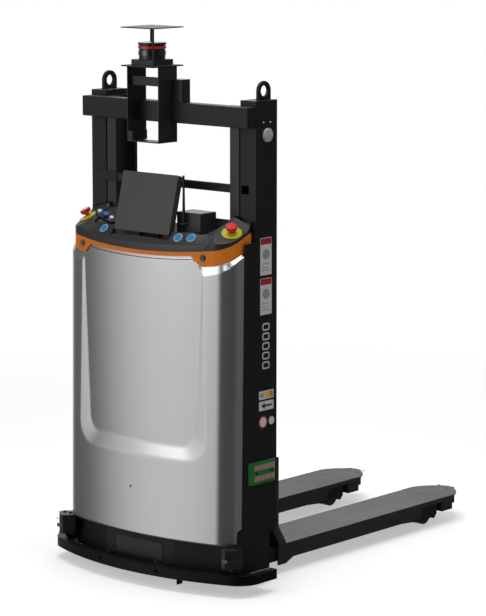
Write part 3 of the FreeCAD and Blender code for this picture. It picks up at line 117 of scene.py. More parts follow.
def buildFinishGroup():
    # cloudy tone, fine grain and settled dust for painted, moulded and cast surfaces; the dust on up-facing
    # faces also stands in for light on the tops, as painted top light
    group, given, result = newGroup(
        "surfaceFinish", Base="Color", Tone="Float", Patch="Float", Grain="Float", Roughness="Float",
        Spread="Float", Dust="Float")
    dustAndTopLightColor, upFacingStart = (0.42, 0.40, 0.37, 1), 0.6
    place = objectPlace(group)
    cloud = addNode(group, "ShaderNodeTexNoise", Vector=place, Scale=given["Patch"], Detail=4.0,
                    Roughness=0.55).outputs["Fac"]
    grain = addNode(group, "ShaderNodeTexNoise", Vector=place, Scale=given["Grain"], Detail=2.0,
                    Roughness=0.6)
    normal = group.nodes.new("ShaderNodeNewGeometry").outputs["Normal"]
    up = addNode(group, "ShaderNodeSeparateXYZ", Vector=normal).outputs["Z"]
    # up-facing faces are mixed towards pale grey in cloudy patches: settled dust, and also painted light on
    # the tops
    level = calc(group, "MULTIPLY", calc(group, "SUBTRACT", up, upFacingStart, True), 2.0, True)
    dustAndTopLightShare = calc(group, "MULTIPLY", calc(group, "MULTIPLY", level, cloud), given["Dust"])
    uneven = calc(group, "SUBTRACT", cloud, 0.5)
    value = calc(group, "ADD", calc(group, "MULTIPLY", uneven, given["Tone"]), 1.0)
    toned = addNode(group, "ShaderNodeHueSaturation", Color=given["Base"], Value=value)
    feed(group, result["Color"], mixColor(group, dustAndTopLightShare, toned.outputs["Color"], dustAndTopLightColor))
    spread = calc(group, "MULTIPLY", uneven, given["Spread"])
    rough = calc(group, "ADD", calc(group, "ADD", given["Roughness"], spread), dustAndTopLightShare, True)
    feed(group, result["Roughness"], rough)
    feed(group, result["Height"], grain.outputs["Fac"])
    return group


def buildScratchGroup():
    # fine lines along one axis, for turned, drawn and rubbed steel
    group, given, result = newGroup(
        "toolMarks", Base="Color", Worn="Color", Stretch="Vector", Amount="Float", Roughness="Float")
    roughSpread = 0.25
    place = objectPlace(group)
    stretched = addNode(group, "ShaderNodeMapping", Vector=place, Scale=given["Stretch"]).outputs[0]
    lines = addNode(group, "ShaderNodeTexNoise", Vector=stretched, Scale=60.0, Detail=5.0,
                    Roughness=0.7).outputs["Fac"]
    worn = calc(group, "MULTIPLY", lines, given["Amount"], True)
    feed(group, result["Color"], mixColor(group, worn, given["Base"], given["Worn"]))
    change = calc(group, "MULTIPLY", calc(group, "SUBTRACT", lines, 0.5), roughSpread)
    feed(group, result["Roughness"], calc(group, "ADD", given["Roughness"], change, True))
    feed(group, result["Height"], lines)
    return group


finishGroup = buildFinishGroup()
markGroup = buildScratchGroup()


def startMaterial(name):
    material = bpy.data.materials.new(name)
    material.use_nodes = True
    tree = material.node_tree
    return material, tree, tree.nodes["Principled BSDF"]


def groupMaterial(group, given, own, bump):
    # a group gives colour, roughness and height, the shader's own sockets take the rest
    material, tree, shader = startMaterial("look")
    finish = addNode(tree, "ShaderNodeGroup", node_tree=group)
    for label, value in given.items():
        finish.inputs[label].default_value = value
    feed(tree, shader.inputs["Base Color"], finish.outputs["Color"])
    feed(tree, shader.inputs["Roughness"], finish.outputs["Roughness"])
    height = addNode(tree, "ShaderNodeBump", Strength=bump[0], Distance=bump[1],
                     Height=finish.outputs["Height"])
    feed(tree, shader.inputs["Normal"], height.outputs["Normal"])
    for label, value in own.items():
        shader.inputs[label].default_value = value
    return material


def painted(color, roughness, tone=0.12, patch=9.0, grain=900.0, spread=0.08, dustAndLitTops=0.0,
                   bump=(0.06, 0.0004), metallic=0.0, coat=0.0, gloss=0.5):
    given = {"Base": (*color, 1), "Tone": tone, "Patch": patch, "Grain": grain, "Roughness": roughness,
             "Spread": spread, "Dust": dustAndLitTops}
    own = {"Metallic": metallic, "Specular IOR Level": gloss, "Coat Weight": coat, "Coat Roughness": 0.1}
    return groupMaterial(finishGroup, given, own, bump)


def steel(color, worn, roughness, stretch=(1, 1, 12), amount=0.6):
    given = {"Base": (*color, 1), "Worn": (*worn, 1), "Stretch": stretch, "Amount": amount,
             "Roughness": roughness}
    return groupMaterial(markGroup, given, {"Metallic": 1.0}, (0.08, 0.0002))


looks = {
    "frame_black": painted((0.0092, 0.0094, 0.0099), 0.52, grain=1400.0, dustAndLitTops=0.05, gloss=0.36),
    "rail_steel": painted((0.012, 0.012, 0.0125), 0.40, grain=900.0),
    # the fork's dust share also lightens its tops as painted top light
    "fork_black": painted((0.020, 0.0202, 0.021), 0.44, tone=0.3, patch=5.0, spread=0.16, grain=700.0,
                          dustAndLitTops=0.06, bump=(0.10, 0.0005)),
    "tower_black": painted((0.012, 0.012, 0.0125), 0.5, grain=1400.0),
    "cover_silver": painted((0.62, 0.62, 0.625), 0.27, tone=0.02, patch=2.0, grain=2600.0, spread=0.02,
                            bump=(0.02, 0.0002), metallic=0.94),
    "band_orange": painted((0.82, 0.215, 0.004), 0.42, tone=0.05, patch=3.0, grain=1600.0,
                           bump=(0.02, 0.0002)),
    "lens_black": painted((0.006, 0.006, 0.007), 0.12, bump=(0.0, 0.0001), coat=0.6),
    "deck_grey": painted((0.022, 0.0225, 0.024), 0.44, grain=1100.0, patch=4.0, bump=(0.16, 0.0003)),
    "rod_chrome": steel((0.62, 0.63, 0.65), (0.8, 0.8, 0.82), 0.12, (30, 30, 1), 0.3),
    "cylinder_black": painted((0.016, 0.016, 0.017), 0.36),
    "chain_steel": steel((0.10, 0.095, 0.085), (0.30, 0.29, 0.27), 0.38, (9, 9, 9), 0.7),
    "pulley_steel": steel((0.20, 0.20, 0.205), (0.45, 0.45, 0.46), 0.30, (12, 1, 1)),
    "roller_steel": steel((0.18, 0.18, 0.185), (0.42, 0.42, 0.43), 0.32, (12, 1, 1)),
    "roller_polyurethane": painted((0.030, 0.022, 0.105), 0.42, tone=0.25, patch=20.0, grain=600.0,
                                   dustAndLitTops=0.15),
    "drive_iron": painted((0.02, 0.02, 0.021), 0.55, tone=0.3, grain=500.0, bump=(0.3, 0.0006)),
    "caster_zinc": steel((0.22, 0.23, 0.23), (0.5, 0.5, 0.5), 0.36, (3, 3, 3)),
    "battery_case": painted((0.035, 0.036, 0.04), 0.55, bump=(0.3, 0.0004)),
    "stop_yellow": painted((0.56, 0.50, 0.010), 0.38, tone=0.04),
    "stop_red": painted((0.70, 0.003, 0.003), 0.28, tone=0.05, bump=(0.02, 0.0002), coat=0.5),
    "pad_dark": painted((0.012, 0.012, 0.013), 0.5),
    "button_white": painted((0.72, 0.73, 0.72), 0.3, tone=0.03),
    "button_blue": painted((0.02, 0.16, 0.55), 0.28, tone=0.04, coat=0.4),
    "panel_black": painted((0.045, 0.045, 0.046), 0.42, tone=0.03, grain=1500.0, bump=(0.05, 0.0002)),
    "equipment_grey": painted((0.03, 0.03, 0.031), 0.45),
    "antenna_black": painted((0.008, 0.008, 0.008), 0.5, grain=700.0),
    "service_grey": painted((0.020, 0.020, 0.021), 0.45, grain=1400.0),
    "strap_rubber": painted((0.012, 0.012, 0.012), 0.7, grain=500.0),
    "bumper_rubber": painted((0.0030, 0.0030, 0.0032), 0.42, grain=900.0, dustAndLitTops=0.04, gloss=0.2,
                             bump=(0.15, 0.0004)),
    "sensor_plastic": painted((0.014, 0.014, 0.015), 0.38, grain=1200.0),
    "lidar_plastic": painted((0.012, 0.012, 0.013), 0.34, bump=(0.03, 0.0002)),
    "lamp_lens": painted((0.42, 0.43, 0.45), 0.3, tone=0.06, bump=(0.03, 0.0002), coat=0.5),
    "charge_green": painted((0.015, 0.17, 0.02), 0.36, tone=0.08),
}
tones = {
    "copper": painted((0.46, 0.28, 0.27), 0.36, tone=0.2, patch=30.0, metallic=0.3),
    "screw": steel((0.30, 0.30, 0.31), (0.62, 0.62, 0.62), 0.32, (6, 6, 6)),
    "blackScrew": steel((0.02, 0.02, 0.021), (0.10, 0.10, 0.10), 0.34, (6, 6, 6)),
    # near-black: painted shade in holes, screw recesses and the slot under the display, and the dark seams
    # on the beam and the forks
    "shadeAndSeamDark": painted((0.003, 0.003, 0.003), 0.7),
    "glass": painted((0.010, 0.010, 0.011), 0.10, bump=(0.0, 0.0001), coat=0.8),
}
# flat prints: colour, roughness and how cloudy the tone is
prints = {
    "white": ((0.62, 0.62, 0.61), 0.42, 0.03),
    "grey": ((0.30, 0.30, 0.30), 0.42, 0.03),
    "red": ((0.38, 0.012, 0.014), 0.42, 0.05),
    "yellow": ((0.66, 0.50, 0.02), 0.42, 0.04),
    "lidarRed": ((0.75, 0.012, 0.012), 0.35, 0.03),
    "amber": ((0.68, 0.22, 0.02), 0.42, 0.04),
    "ink": ((0.012, 0.012, 0.012), 0.45, 0.03),
    "blue": ((0.02, 0.22, 0.50), 0.32, 0.04),
}
for label, (color, roughness, cloud) in prints.items():
    tones[label] = painted(color, roughness, tone=cloud, bump=(0.02, 0.0001))
for label, material in (*looks.items(), *tones.items()):
    material.name = label
print("materials:", len(looks) + len(tones))

# piece helpers


def addObject(name, data):
    made = bpy.data.objects.new(name, data)
    bpy.context.scene.collection.objects.link(made)
    return made


def meshFromBmesh(name, bm):
    mesh = bpy.data.meshes.new(name)
    bm.to_mesh(mesh)
    bm.free()
    return mesh


def finishPiece(name, mesh, body, material, flatAngle):
    piece = addObject(name, mesh)
    mesh.materials.append(material)
    mesh.shade_smooth()
    mesh.set_sharp_from_angle(angle=math.radians(flatAngle))
    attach(piece, body)
    return piece


def addPiece(name, bm, slot, tone=None, body="machine", flatAngle=35.0):
    # a tone is one of the fittings' looks, without one the piece has its slot's look
    bmesh.ops.remove_doubles(bm, verts=bm.verts, dist=0.00001)
    bmesh.ops.recalc_face_normals(bm, faces=bm.faces)
    material = tones[tone] if tone else looks[slot]
    return finishPiece(name, meshFromBmesh(name, bm), body, material, flatAngle)


def boxAt(bm, low, high):
    low, high = Vector(low), Vector(high)
    place = Matrix.Translation((low + high) / 2) @ Matrix.Diagonal((*(high - low), 1))
    bmesh.ops.create_cube(bm, size=1.0, matrix=place)


def discAt(bm, centre, axis, radius, depth, sides=32, topRadius=None):
    # a disc or cone frustum whose base is at the centre and which runs along the axis
    turn = Vector(axis).to_track_quat("Z", "Y").to_matrix().to_4x4()
    place = Matrix.Translation(Vector(centre) + Vector(axis).normalized() * depth / 2) @ turn
    bmesh.ops.create_cone(bm, cap_ends=True, segments=sides, radius1=radius,
                          radius2=radius if topRadius is None else topRadius, depth=depth, matrix=place)


def bevelEdges(bm, width):
    # one flat facet along each hard edge
    limit = math.radians(30.0)
    hard = [edge for edge in bm.edges if edge.is_manifold and edge.calc_face_angle(0.0) > limit]
    bmesh.ops.bevel(bm, geom=hard, offset=width, affect="EDGES", segments=1, profile=0.5,
                    material=-1, clamp_overlap=True)


def roundCorners(bm, radius, segments):
    # rounds the short edges that run along X, on plates that lie on the post's side
    across = [edge for edge in bm.edges if abs(edge.verts[0].co.x - edge.verts[1].co.x) > 0.0002]
    bmesh.ops.bevel(bm, geom=across, offset=radius, affect="EDGES", segments=segments, profile=0.5,
                    material=-1)


def thickenUp(bm, depth):
    # gives a sheet its thickness, upwards
    made = bmesh.ops.extrude_face_region(bm, geom=list(bm.faces))["geom"]
    moved = [item for item in made if isinstance(item, bmesh.types.BMVert)]
    bmesh.ops.translate(bm, vec=(0, 0, depth), verts=moved)


def addDiscs(name, places, depth, slot, tone, sides=20, body="machine"):
    # flat round marks and holes; each place is a point, the way it faces and a radius
    bm = bmesh.new()
    for spot, facing, radius in places:
        discAt(bm, spot, facing, radius, depth, sides)
    addPiece(name, bm, slot, tone, body)


def addScrews(name, places, axis, radius, slot):
    # button-head screws with a hexagon socket
    head, socket = 0.0022, 0.0004
    bm = bmesh.new()
    for place in places:
        discAt(bm, place, axis, radius, head, 20, radius * 0.72)
        rim = Vector(place) + Vector(axis).normalized() * (head - socket / 2)
        discAt(bm, rim, axis, radius * 0.42, socket, 6)
    addPiece(name, bm, slot, "screw")


# moulded front cover: a grid wrapped round the plan, pressed in at the panel and stepped in under the band

coverSizes = {
    "cornerRadius": 0.072, "arc": 1.232, "rear": -0.074, "lean": 0.017, "leanTop": 1.320,
    "panelLow": 0.525, "panelHigh": 1.166, "panelHalfLow": 0.258, "panelHalfHigh": 0.290,
    "panelRound": 0.056,
    "lipLow": 0.474, "lipHalfLow": 0.313, "lipHalfHigh": 0.297, "lipRound": 0.085,
    "depthLow": 0.013, "depthHigh": 0.0035, "stepDepth": 0.0065, "stepDrop": 0.014, "stepPace": 1.6,
    "ledgeDrop": 0.036, "ledgeFrom": -0.165, "ledgeFade": 0.10, "leastDrop": 0.008,
    "footLevel": mastLow.z + 0.033, "footFront": mastFront - 0.100,
    "wall": 0.002, "columns": 216, "rows": 200, "crowding": 1.5,
}
crownSizes = {
    "half": 0.390, "front": 0.197, "rear": -0.060, "cornerRadius": 0.085, "arc": 1.232,
    "tilt": math.radians(21.8), "top": 1.224, "bandTall": 0.0145, "bandGap": 0.0005,
    "lobeFoot": 0.286, "lobeHead": 0.246, "lobeDrop": 0.036,
}
coverLow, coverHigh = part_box("front_cover")


def planPoint(share, half, front, corner, arc, rear):
    # point and outward direction at a share of the way round the plan, from left rear to right rear
    centre = front + arc
    cornerX = half - corner
    cornerY = centre - math.sqrt((arc - corner) ** 2 - cornerX ** 2)
    swing = math.asin(cornerX / (arc - corner))
    straight = rear - cornerY
    lengths = (straight, corner * (math.pi / 2 - swing), arc * swing)
    side = -1 if share < 0.5 else 1
    run = (0.5 - abs(share - 0.5)) * 2 * sum(lengths)
    if run < lengths[0]:
        return Vector((side * half, rear - run)), Vector((side, 0))
    if run < lengths[0] + lengths[1]:
        turn = (run - lengths[0]) / corner
        out = Vector((side * math.cos(turn), -math.sin(turn)))
        return Vector((side * cornerX, cornerY)) + out * corner, out
    turn = swing - (run - lengths[0] - lengths[1]) / arc
    out = Vector((side * math.sin(turn), -math.cos(turn)))
    return Vector((0, centre)) + out * arc, out


def crownLevel(y):
    return crownSizes["top"] + math.tan(crownSizes["tilt"]) * (y - mastFront + crownSizes["front"])


def lobeShare(x):
    return min(1,
               max(0,
                   (abs(x) - crownSizes["lobeHead"]) / (crownSizes["lobeFoot"] - crownSizes["lobeHead"])))


def edgeDistance(x, z, half, low, radius):
    # signed distance outside a panel with sides at half, a bottom at low and round lower corners
    across, down = abs(x) - half + radius, low - z + radius
    outside = math.hypot(max(across, 0), max(down, 0))
    return outside + min(max(across, down), 0) - radius


def panelPress(x, z):
    size = coverSizes
    climb = (z - size["panelLow"]) / (size["panelHigh"] - size["panelLow"])
    mixed = min(1.2, max(0, climb))
    innerHalf = size["panelHalfLow"] + (size["panelHalfHigh"] - size["panelHalfLow"]) * mixed
    outerHalf = size["lipHalfLow"] + (size["lipHalfHigh"] - size["lipHalfLow"]) * mixed
    inner = edgeDistance(x, z, innerHalf, size["panelLow"], size["panelRound"])
    outer = edgeDistance(x, z, outerHalf, size["lipLow"], size["lipRound"])
    if inner <= 0:
        share = 1
    elif outer >= 0:
        share = 0
    else:
        share = -outer / (inner - outer)
    return share * (size["depthLow"] + (size["depthHigh"] - size["depthLow"]) * mixed)


def topEdge(x, y):
    # where the band's lower edge lies, and how far below it the ledge starts
    size = crownSizes
    lobe = lobeShare(x)
    tall = size["bandTall"] / math.cos(size["tilt"])
    edge = crownLevel(y) - tall - size["lobeDrop"] * lobe - size["bandGap"]
    back = max(0, (y - mastFront - coverSizes["ledgeFrom"]) / coverSizes["ledgeFade"])
    drop = coverSizes["stepDrop"] * (1 - lobe) + coverSizes["ledgeDrop"] * lobe * max(0, 1 - back)
    return edge, max(drop, coverSizes["leastDrop"])


def buildCover():
    size, crownSize = coverSizes, crownSizes
    low = coverLow.z
    bm = bmesh.new()
    bmesh.ops.create_grid(bm, x_segments=size["columns"], y_segments=size["rows"], size=0.5)
    for vert in bm.verts:
        share, climb = vert.co.x + 0.5, 1 - (0.5 - vert.co.y) ** size["crowding"]
        base, out = planPoint(share, coverHigh.x, coverLow.y, size["cornerRadius"], size["arc"],
                              mastFront + size["rear"])
        crown, _ = planPoint(share, crownSize["half"], mastFront - crownSize["front"],
                             crownSize["cornerRadius"],
                             crownSize["arc"], mastFront + crownSize["rear"])
        edge, drop = topEdge(crown.x, crown.y)
        z = low + climb * (edge - low)
        spot = base + Vector((0, size["lean"] * (z - low) / (size["leanTop"] - low)))
        press = panelPress(spot.x, z)
        above = max(0, (z - edge + drop) / drop)
        if above > 0:
            gap = max((spot - crown).dot(out), size["stepDepth"])
            pace = 1 + size["stepPace"] * (1 - lobeShare(crown.x))
            press = max(press, gap * min(1, above * pace))
        spot -= out * press
        vert.co = (spot.x, spot.y, z)
        if vert.co.z < size["footLevel"] and vert.co.y > size["footFront"]:
            # clear of the mast's foot
            vert.co.y = size["footFront"]
    piece = addPiece("cover_shell", bm, slotOf["front_cover"], flatAngle=50)
    wall = piece.modifiers.new("wall", "SOLIDIFY")
    wall.thickness = size["wall"]
    wall.offset = -1
    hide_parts("front_cover")


buildCover()
print("cover built")

# structural nodes keep their own shapes, welded and with rounded edges

dressSizes = {"weld": 0.00002, "flatBelow": 0.6, "smoothBelow": 30.0, "edgeAbove": 32.0, "segments": 2}


def dressNode(node, width):
    size, slot = dressSizes, slotOf[node]
    bm = bmesh.new()
    bm.from_mesh(nodes[node].data)
    bmesh.ops.remove_doubles(bm, verts=bm.verts, dist=size["weld"])
    bmesh.ops.dissolve_limit(bm, angle_limit=math.radians(size["flatBelow"]), verts=bm.verts,
                             edges=bm.edges)
    name = node + "_dressed"
    piece = finishPiece(name, meshFromBmesh(name, bm), bodyOf[node], looks[slot], size["smoothBelow"])
    bevel = piece.modifiers.new("edgeRound", "BEVEL")
    bevel.width = width
    bevel.segments = size["segments"]
    bevel.limit_method = "ANGLE"
    bevel.angle_limit = math.radians(size["edgeAbove"])
    bevel.harden_normals = True
    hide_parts(node)


# a star stands for the right-hand node and then the left-hand one
edgeWidths = {
    "mast_posts": 0.003, "mast_rails": 0.0015, "top_crossbeam": 0.003, "mid_crossbar": 0.0012,
    "chain_anchor_bar": 0.0015, "lifting_eye_*": 0.003, "chassis_frame": 0.0012, "support_leg_*": 0.002,
    "load_roller_*": 0.002, "drive_wheel": 0.003, "drive_unit": 0.002, "caster_wheel_*": 0.002,
    "caster_fork_*": 0.001, "fork_*": 0.002, "carriage_frame": 0.002, "guide_roller_lower_*": 0.0015,
    "guide_roller_upper_*": 0.0015, "lift_cylinders": 0.0015, "lift_rods": 0.001, "chain_pulley_*": 0.001,
    "trim_band": 0.0008, "band_sensors": 0.0008, "body_frame": 0.0008, "battery_pack": 0.004,
    "stop_bases": 0.0008, "stop_button_*": 0.0015, "button_pad": 0.001, "white_button_outer": 0.001,
    "blue_button": 0.001, "white_button_inner": 0.001, "display_panel": 0.0015, "display_stand": 0.001,
    "equipment_box": 0.002, "antenna": 0.0008, "front_skirt": 0.0008, "service_panel": 0.0005,
    "antistatic_strap": 0.0004, "front_bumper": 0.006, "corner_sensors": 0.002, "sensor_brackets": 0.0008,
    "tower_bracket": 0.0008, "sensor_platter": 0.0015, "scan_lidar": 0.0015, "lidar_guard": 0.0006,
    "beam_sensor_box": 0.002, "side_lamps": 0.0015, "charge_block": 0.0012,
}
for name, width in edgeWidths.items():
    for side in ("right", "left") if "*" in name else ("",):
        dressNode(name.replace("*", side), width)
print("nodes dressed")

# the lift chains keep the frame's own stretching meshes and only take their look

nodes["lift_chains"].data.materials.clear()
nodes["lift_chains"].data.materials.append(looks["chain_steel"])

# marks on the right-hand post: depths run back from the mast's front plane

postSlot = slotOf["mast_posts"]
markSizes = {
    "paper": 0.0005, "print": 0.0008, "round": 0.002, "inset": 0.002, "head": 0.024, "margin": 0.008,
    "rule": 0.003, "rules": ((0.016, 0.010), (0.026, 0.020), (0.040, 0.014)),
    "disc": 0.019, "discLevel": 0.075, "discLift": 0.0007,
}


def plateOnPost(name, depths, levels, tone, lift, corner=0.0):
    bm = bmesh.new()
    boxAt(bm, (sideX, mastFront + depths[0], levels[0]), (sideX + lift, mastFront + depths[1], levels[1]))
    if corner:
        roundCorners(bm, corner, 4)
    addPiece(name, bm, postSlot, tone)


def buildInfoPlate(name, depths, levels):
    # a white plate with a red head, a grey disc and three grey rules
    size = markSizes
    inset = size["inset"]
    plateOnPost(name, depths, levels, "white", size["paper"], size["round"])
    plateOnPost(name + "_head", (depths[0] + inset, depths[1] - inset),
                (levels[1] - size["head"], levels[1] - inset), "red", size["print"])
    for index, (level, short) in enumerate(size["rules"]):
        low = levels[0] + level
        plateOnPost(f"{name}_rule_{index}", (depths[0] + size["margin"], depths[1] - short),
                    (low, low + size["rule"]), "grey", size["print"])
    centre = (sideX, mastFront + (depths[0] + depths[1]) / 2, levels[0] + size["discLevel"])
    addDiscs(name + "_disc", [(centre, (1, 0, 0), size["disc"])], size["discLift"], postSlot, "grey", 32)


buildInfoPlate("plate_upper", (0.024, 0.086), (1.141, 1.276))
buildInfoPlate("plate_lower", (0.024, 0.087), (0.998, 1.130))

digitSizes = {"count": 5, "first": 0.800, "pitch": 0.035, "tall": 0.027, "depths": (0.036, 0.075),
              "line": 0.005, "lift": 0.0007, "round": 0.009}


def buildDigitFrames():
    # a column of plain rounded frames
    size = digitSizes
    near, far = (mastFront + depth for depth in size["depths"])
    for index in range(size["count"]):
        low = size["first"] + index * size["pitch"]
        bm = bmesh.new()
        boxAt(bm, (sideX, near, low), (sideX + size["lift"], far, low + size["tall"]))
        roundCorners(bm, size["round"], 5)
        faces = [face for face in bm.faces if abs(face.normal.x) > 0.9]
        bmesh.ops.inset_region(bm, faces=faces, thickness=size["line"], use_even_offset=True)
        bmesh.ops.delete(bm, geom=faces, context="FACES")
        bmesh.ops.bridge_loops(bm, edges=[edge for edge in bm.edges if edge.is_boundary])
        addPiece(f"digit_frame_{index}", bm, postSlot, "white")


buildDigitFrames()
labels = (
    ("guide_label", (0.018, 0.098), (0.690, 0.721), "white"),
    ("guide_label_yellow", (0.050, 0.072), (0.694, 0.717), "yellow"),
    ("guide_label_amber", (0.075, 0.094), (0.694, 0.717), "amber"),
    ("guide_label_ink", (0.024, 0.044), (0.698, 0.713), "grey"),
    ("arrow_label", (0.018, 0.098), (0.649, 0.683), "white"),
)
for *place, tone in labels:
    if tone == "white":
        plateOnPost(*place, tone, markSizes["paper"], markSizes["round"])
    else:
        plateOnPost(*place, tone, markSizes["print"])

arrowSizes = {"tip": 0.030, "tail": 0.088, "level": 0.666, "head": 0.013, "neck": 0.016, "line": 0.0035}


def buildArrow():
    # plain arrow that points towards the front of the machine
    size, lift = arrowSizes, markSizes["print"]
    tip, level = mastFront + size["tip"], size["level"]
    bm = bmesh.new()
    boxAt(bm, (sideX, tip + size["neck"], level - size["line"]),
          (sideX + lift, mastFront + size["tail"], level + size["line"]))
    turn = Matrix(((0, 0, 1, 0), (0, -1, 0, 0), (1, 0, 0, 0), (0, 0, 0, 1)))
    place = Matrix.Translation((sideX + lift / 2, tip + size["head"], level)) @ turn
    bmesh.ops.create_cone(bm, cap_ends=True, segments=3, radius1=size["head"], radius2=size["head"],
                          depth=lift, matrix=place)
    addPiece("arrow_mark", bm, postSlot, "ink")


buildArrow()
roundMarks = (
    ("round_mark_rim", 0.040, 0.024, "red", 0.0005), ("round_mark", 0.040, 0.018, "white", 0.0008),
    ("round_mark_small", 0.087, 0.015, "white", 0.0006),
)
for name, depth, radius, tone, lift in roundMarks:
    addDiscs(name, [((sideX, mastFront + depth, 0.607), (1, 0, 0), radius)], lift, postSlot, tone, 32)

# holes in the mast, each as a dark disc of painted shade that hardly stands proud

holeSizes = {
    "front": ((0.358, 1.619), (0.357, 1.366), (0.338, 1.646)), "frontRadius": 0.0048,
    "side": (0.5374, 1.700), "sideDepth": 0.012, "sideRadius": 0.0045,
    "bar": ((0.176, 1.4528), (0.219, 1.4525)), "barRadius": 0.004,
    "sunk": 0.0004, "depth": 0.0009, "seam": (0.4019, 0.4079),
}


def buildHoles():
    size = holeSizes
    sunk, ahead = size["sunk"], (0, -1, 0)
    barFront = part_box("mid_crossbar")[0].y
    places, barPlaces = [], []
    for side in (-1, 1):
        for x, level in size["front"]:
            places.append(((x * side, mastFront + sunk, level), ahead, size["frontRadius"]))
        for level in size["side"]:
            spot = (side * (sideX - sunk), mastFront + size["sideDepth"], level)
            places.append((spot, (side, 0, 0), size["sideRadius"]))
        for x, level in size["bar"]:
            barPlaces.append(((x * side, barFront + sunk, level), ahead, size["barRadius"]))
    addDiscs("post_holes", places, size["depth"], postSlot, "shadeAndSeamDark")
    addDiscs("crossbar_holes", barPlaces, size["depth"], slotOf["mid_crossbar"], "shadeAndSeamDark")
    beamLow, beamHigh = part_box("top_crossbeam")
    bm = bmesh.new()
    boxAt(bm, (size["seam"][0], beamLow.y - 0.0003, beamLow.z + 0.001),
          (size["seam"][1], beamLow.y + 0.001, beamHigh.z - 0.001))
    addPiece("beam_seam", bm, slotOf["top_crossbeam"], "shadeAndSeamDark")


buildHoles()
print("marks placed")

contactSizes = {"rows": (0.14, 0.62), "tall": 0.24, "parts": 6, "start": 0.022, "end": 0.008, "gap": 0.0008,
                "sunk": 0.001, "proud": 0.0022, "edge": 0.0006, "screws": (0.25, 0.85), "screw": 0.005}


def buildContacts():
    size = contactSizes
    low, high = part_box("charge_block")
    tall, slot = high.z - low.z, slotOf["charge_block"]
    start = low.y + size["start"]
    step = (high.y - size["end"] - start) / size["parts"]
    for index, share in enumerate(size["rows"]):
        bm = bmesh.new()
        level = low.z + tall * share
        for part in range(size["parts"]):
            boxAt(bm, (high.x - size["sunk"], start + step * part + size["gap"], level),
                  (high.x + size["proud"], start + step * (part + 1) - size["gap"],
                   level + tall * size["tall"]))
        bevelEdges(bm, size["edge"])
        addPiece(f"charge_contact_{index}", bm, slot, "copper")
    # the screws' recesses are dark discs of painted shade
    places = [((high.x - size["sunk"], low.y + (high.y - low.y) * share, low.z + tall * 0.5), (1, 0, 0),
               size["screw"]) for share in size["screws"]]
    addDiscs("charge_screws", places, 0.0016, slot, "shadeAndSeamDark")


buildContacts()

lampSizes = {"radius": 0.0235, "flatten": 0.22, "sunk": 0.003, "screwApart": 0.018, "screwUp": 0.044,
             "screw": 0.0045}


def buildLamps():
    size, slot = lampSizes, slotOf["side_lamps"]
    low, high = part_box("side_lamps")
    for side, name in ((1, "right"), (-1, "left")):
        centre = Vector((side * (high.x - size["sunk"]), (low.y + high.y) / 2, (low.z + high.z) / 2))
        bm = bmesh.new()
        bmesh.ops.create_uvsphere(bm, u_segments=48, v_segments=16, radius=size["radius"])
        place = Matrix.Translation(centre) @ Matrix.Diagonal((size["flatten"], 1, 1, 1))
        bmesh.ops.transform(bm, matrix=place, verts=bm.verts)
        addPiece(f"lamp_dome_{name}", bm, slot)
        places = [(side * sideX, centre.y + shift, centre.z + size["screwUp"])
                  for shift in (-size["screwApart"], size["screwApart"])]
        addScrews(f"lamp_screws_{name}", places, (side, 0, 0), size["screw"], slot)


buildLamps()

lidarRings = (("lidar_red_ring", 1.9365, 0.009, 0.0012, "lidarRed"),
              ("lidar_window", 1.912, 0.018, 0.0008, "glass"))


def buildLidarRings():
    low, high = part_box("scan_lidar")
    radius = (high.x - low.x) / 2 / 1.03
    for name, level, tall, proud, tone in lidarRings:
        spot = ((low.x + high.x) / 2, (low.y + high.y) / 2, level)
        addDiscs(name, [(spot, (0, 0, 1), radius + proud)], tall, slotOf["scan_lidar"], tone, 64)


buildLidarRings()

# console deck: one height field over the band, from the lip and the sloping fascia to the tray and pods

deckSizes = {
    "half": 0.3895, "rear": -0.010, "lip": 0.0258, "fasciaDeep": 0.038, "fasciaSlope": 0.672,
    "tray": 0.0043,
    "podInner": 0.235, "podRidge": 0.307, "podTop": 0.0388, "podFall": 0.318, "podRamp": 0.35,
    "blend": (0.215, 0.300), "notchHalf": 0.139, "notchAt": -0.177, "finAt": -0.033, "finSlope": 0.75,
    "wallTop": 1.337, "wallIn": 0.177, "columns": 260, "soft": 0.006, "round": 0.0016,
    "riser": 0.0006, "rimRun": 0.003, "podCurl": 0.20, "finFrom": (0.290, 0.312), "wallRun": 0.005,
    "wallTread": 0.0045, "slack": 0.0002,
    "nearRows": 7, "midRows": 9, "farRows": 60,
}

deckSlot = slotOf["console_deck"]


def smoothShare(value, start, end):
    share = min(1, max(0, (value - start) / (end - start)))
    return share * share * (3 - 2 * share)


# the crown's outline: the arc's centre, and the centre of the corner on the right
crownCentre = crownSizes["arc"] - crownSizes["front"]
bendX = crownSizes["half"] - crownSizes["cornerRadius"]
bendY = crownCentre - math.sqrt((crownSizes["arc"] - crownSizes["cornerRadius"]) ** 2 - bendX ** 2)


def crownFront(x):
    # depth of the outline at a place across
    arc, radius = crownSizes["arc"], crownSizes["cornerRadius"]
    if abs(x) < bendX * arc / (arc - radius):
        return crownCentre - math.sqrt(arc ** 2 - x * x)
    return bendY - math.sqrt(max(radius ** 2 - (abs(x) - bendX) ** 2, 0))


def edgeInset(x, depth):
    # how far inside the outline a place lies
    wide = abs(x)
    inset = min(crownSizes["arc"] - math.hypot(x, depth - crownCentre), crownSizes["half"] - wide)
    if wide > bendX and depth < bendY:
        inset = min(inset, crownSizes["cornerRadius"] - math.hypot(wide - bendX, depth - bendY))
    return max(inset, 0)


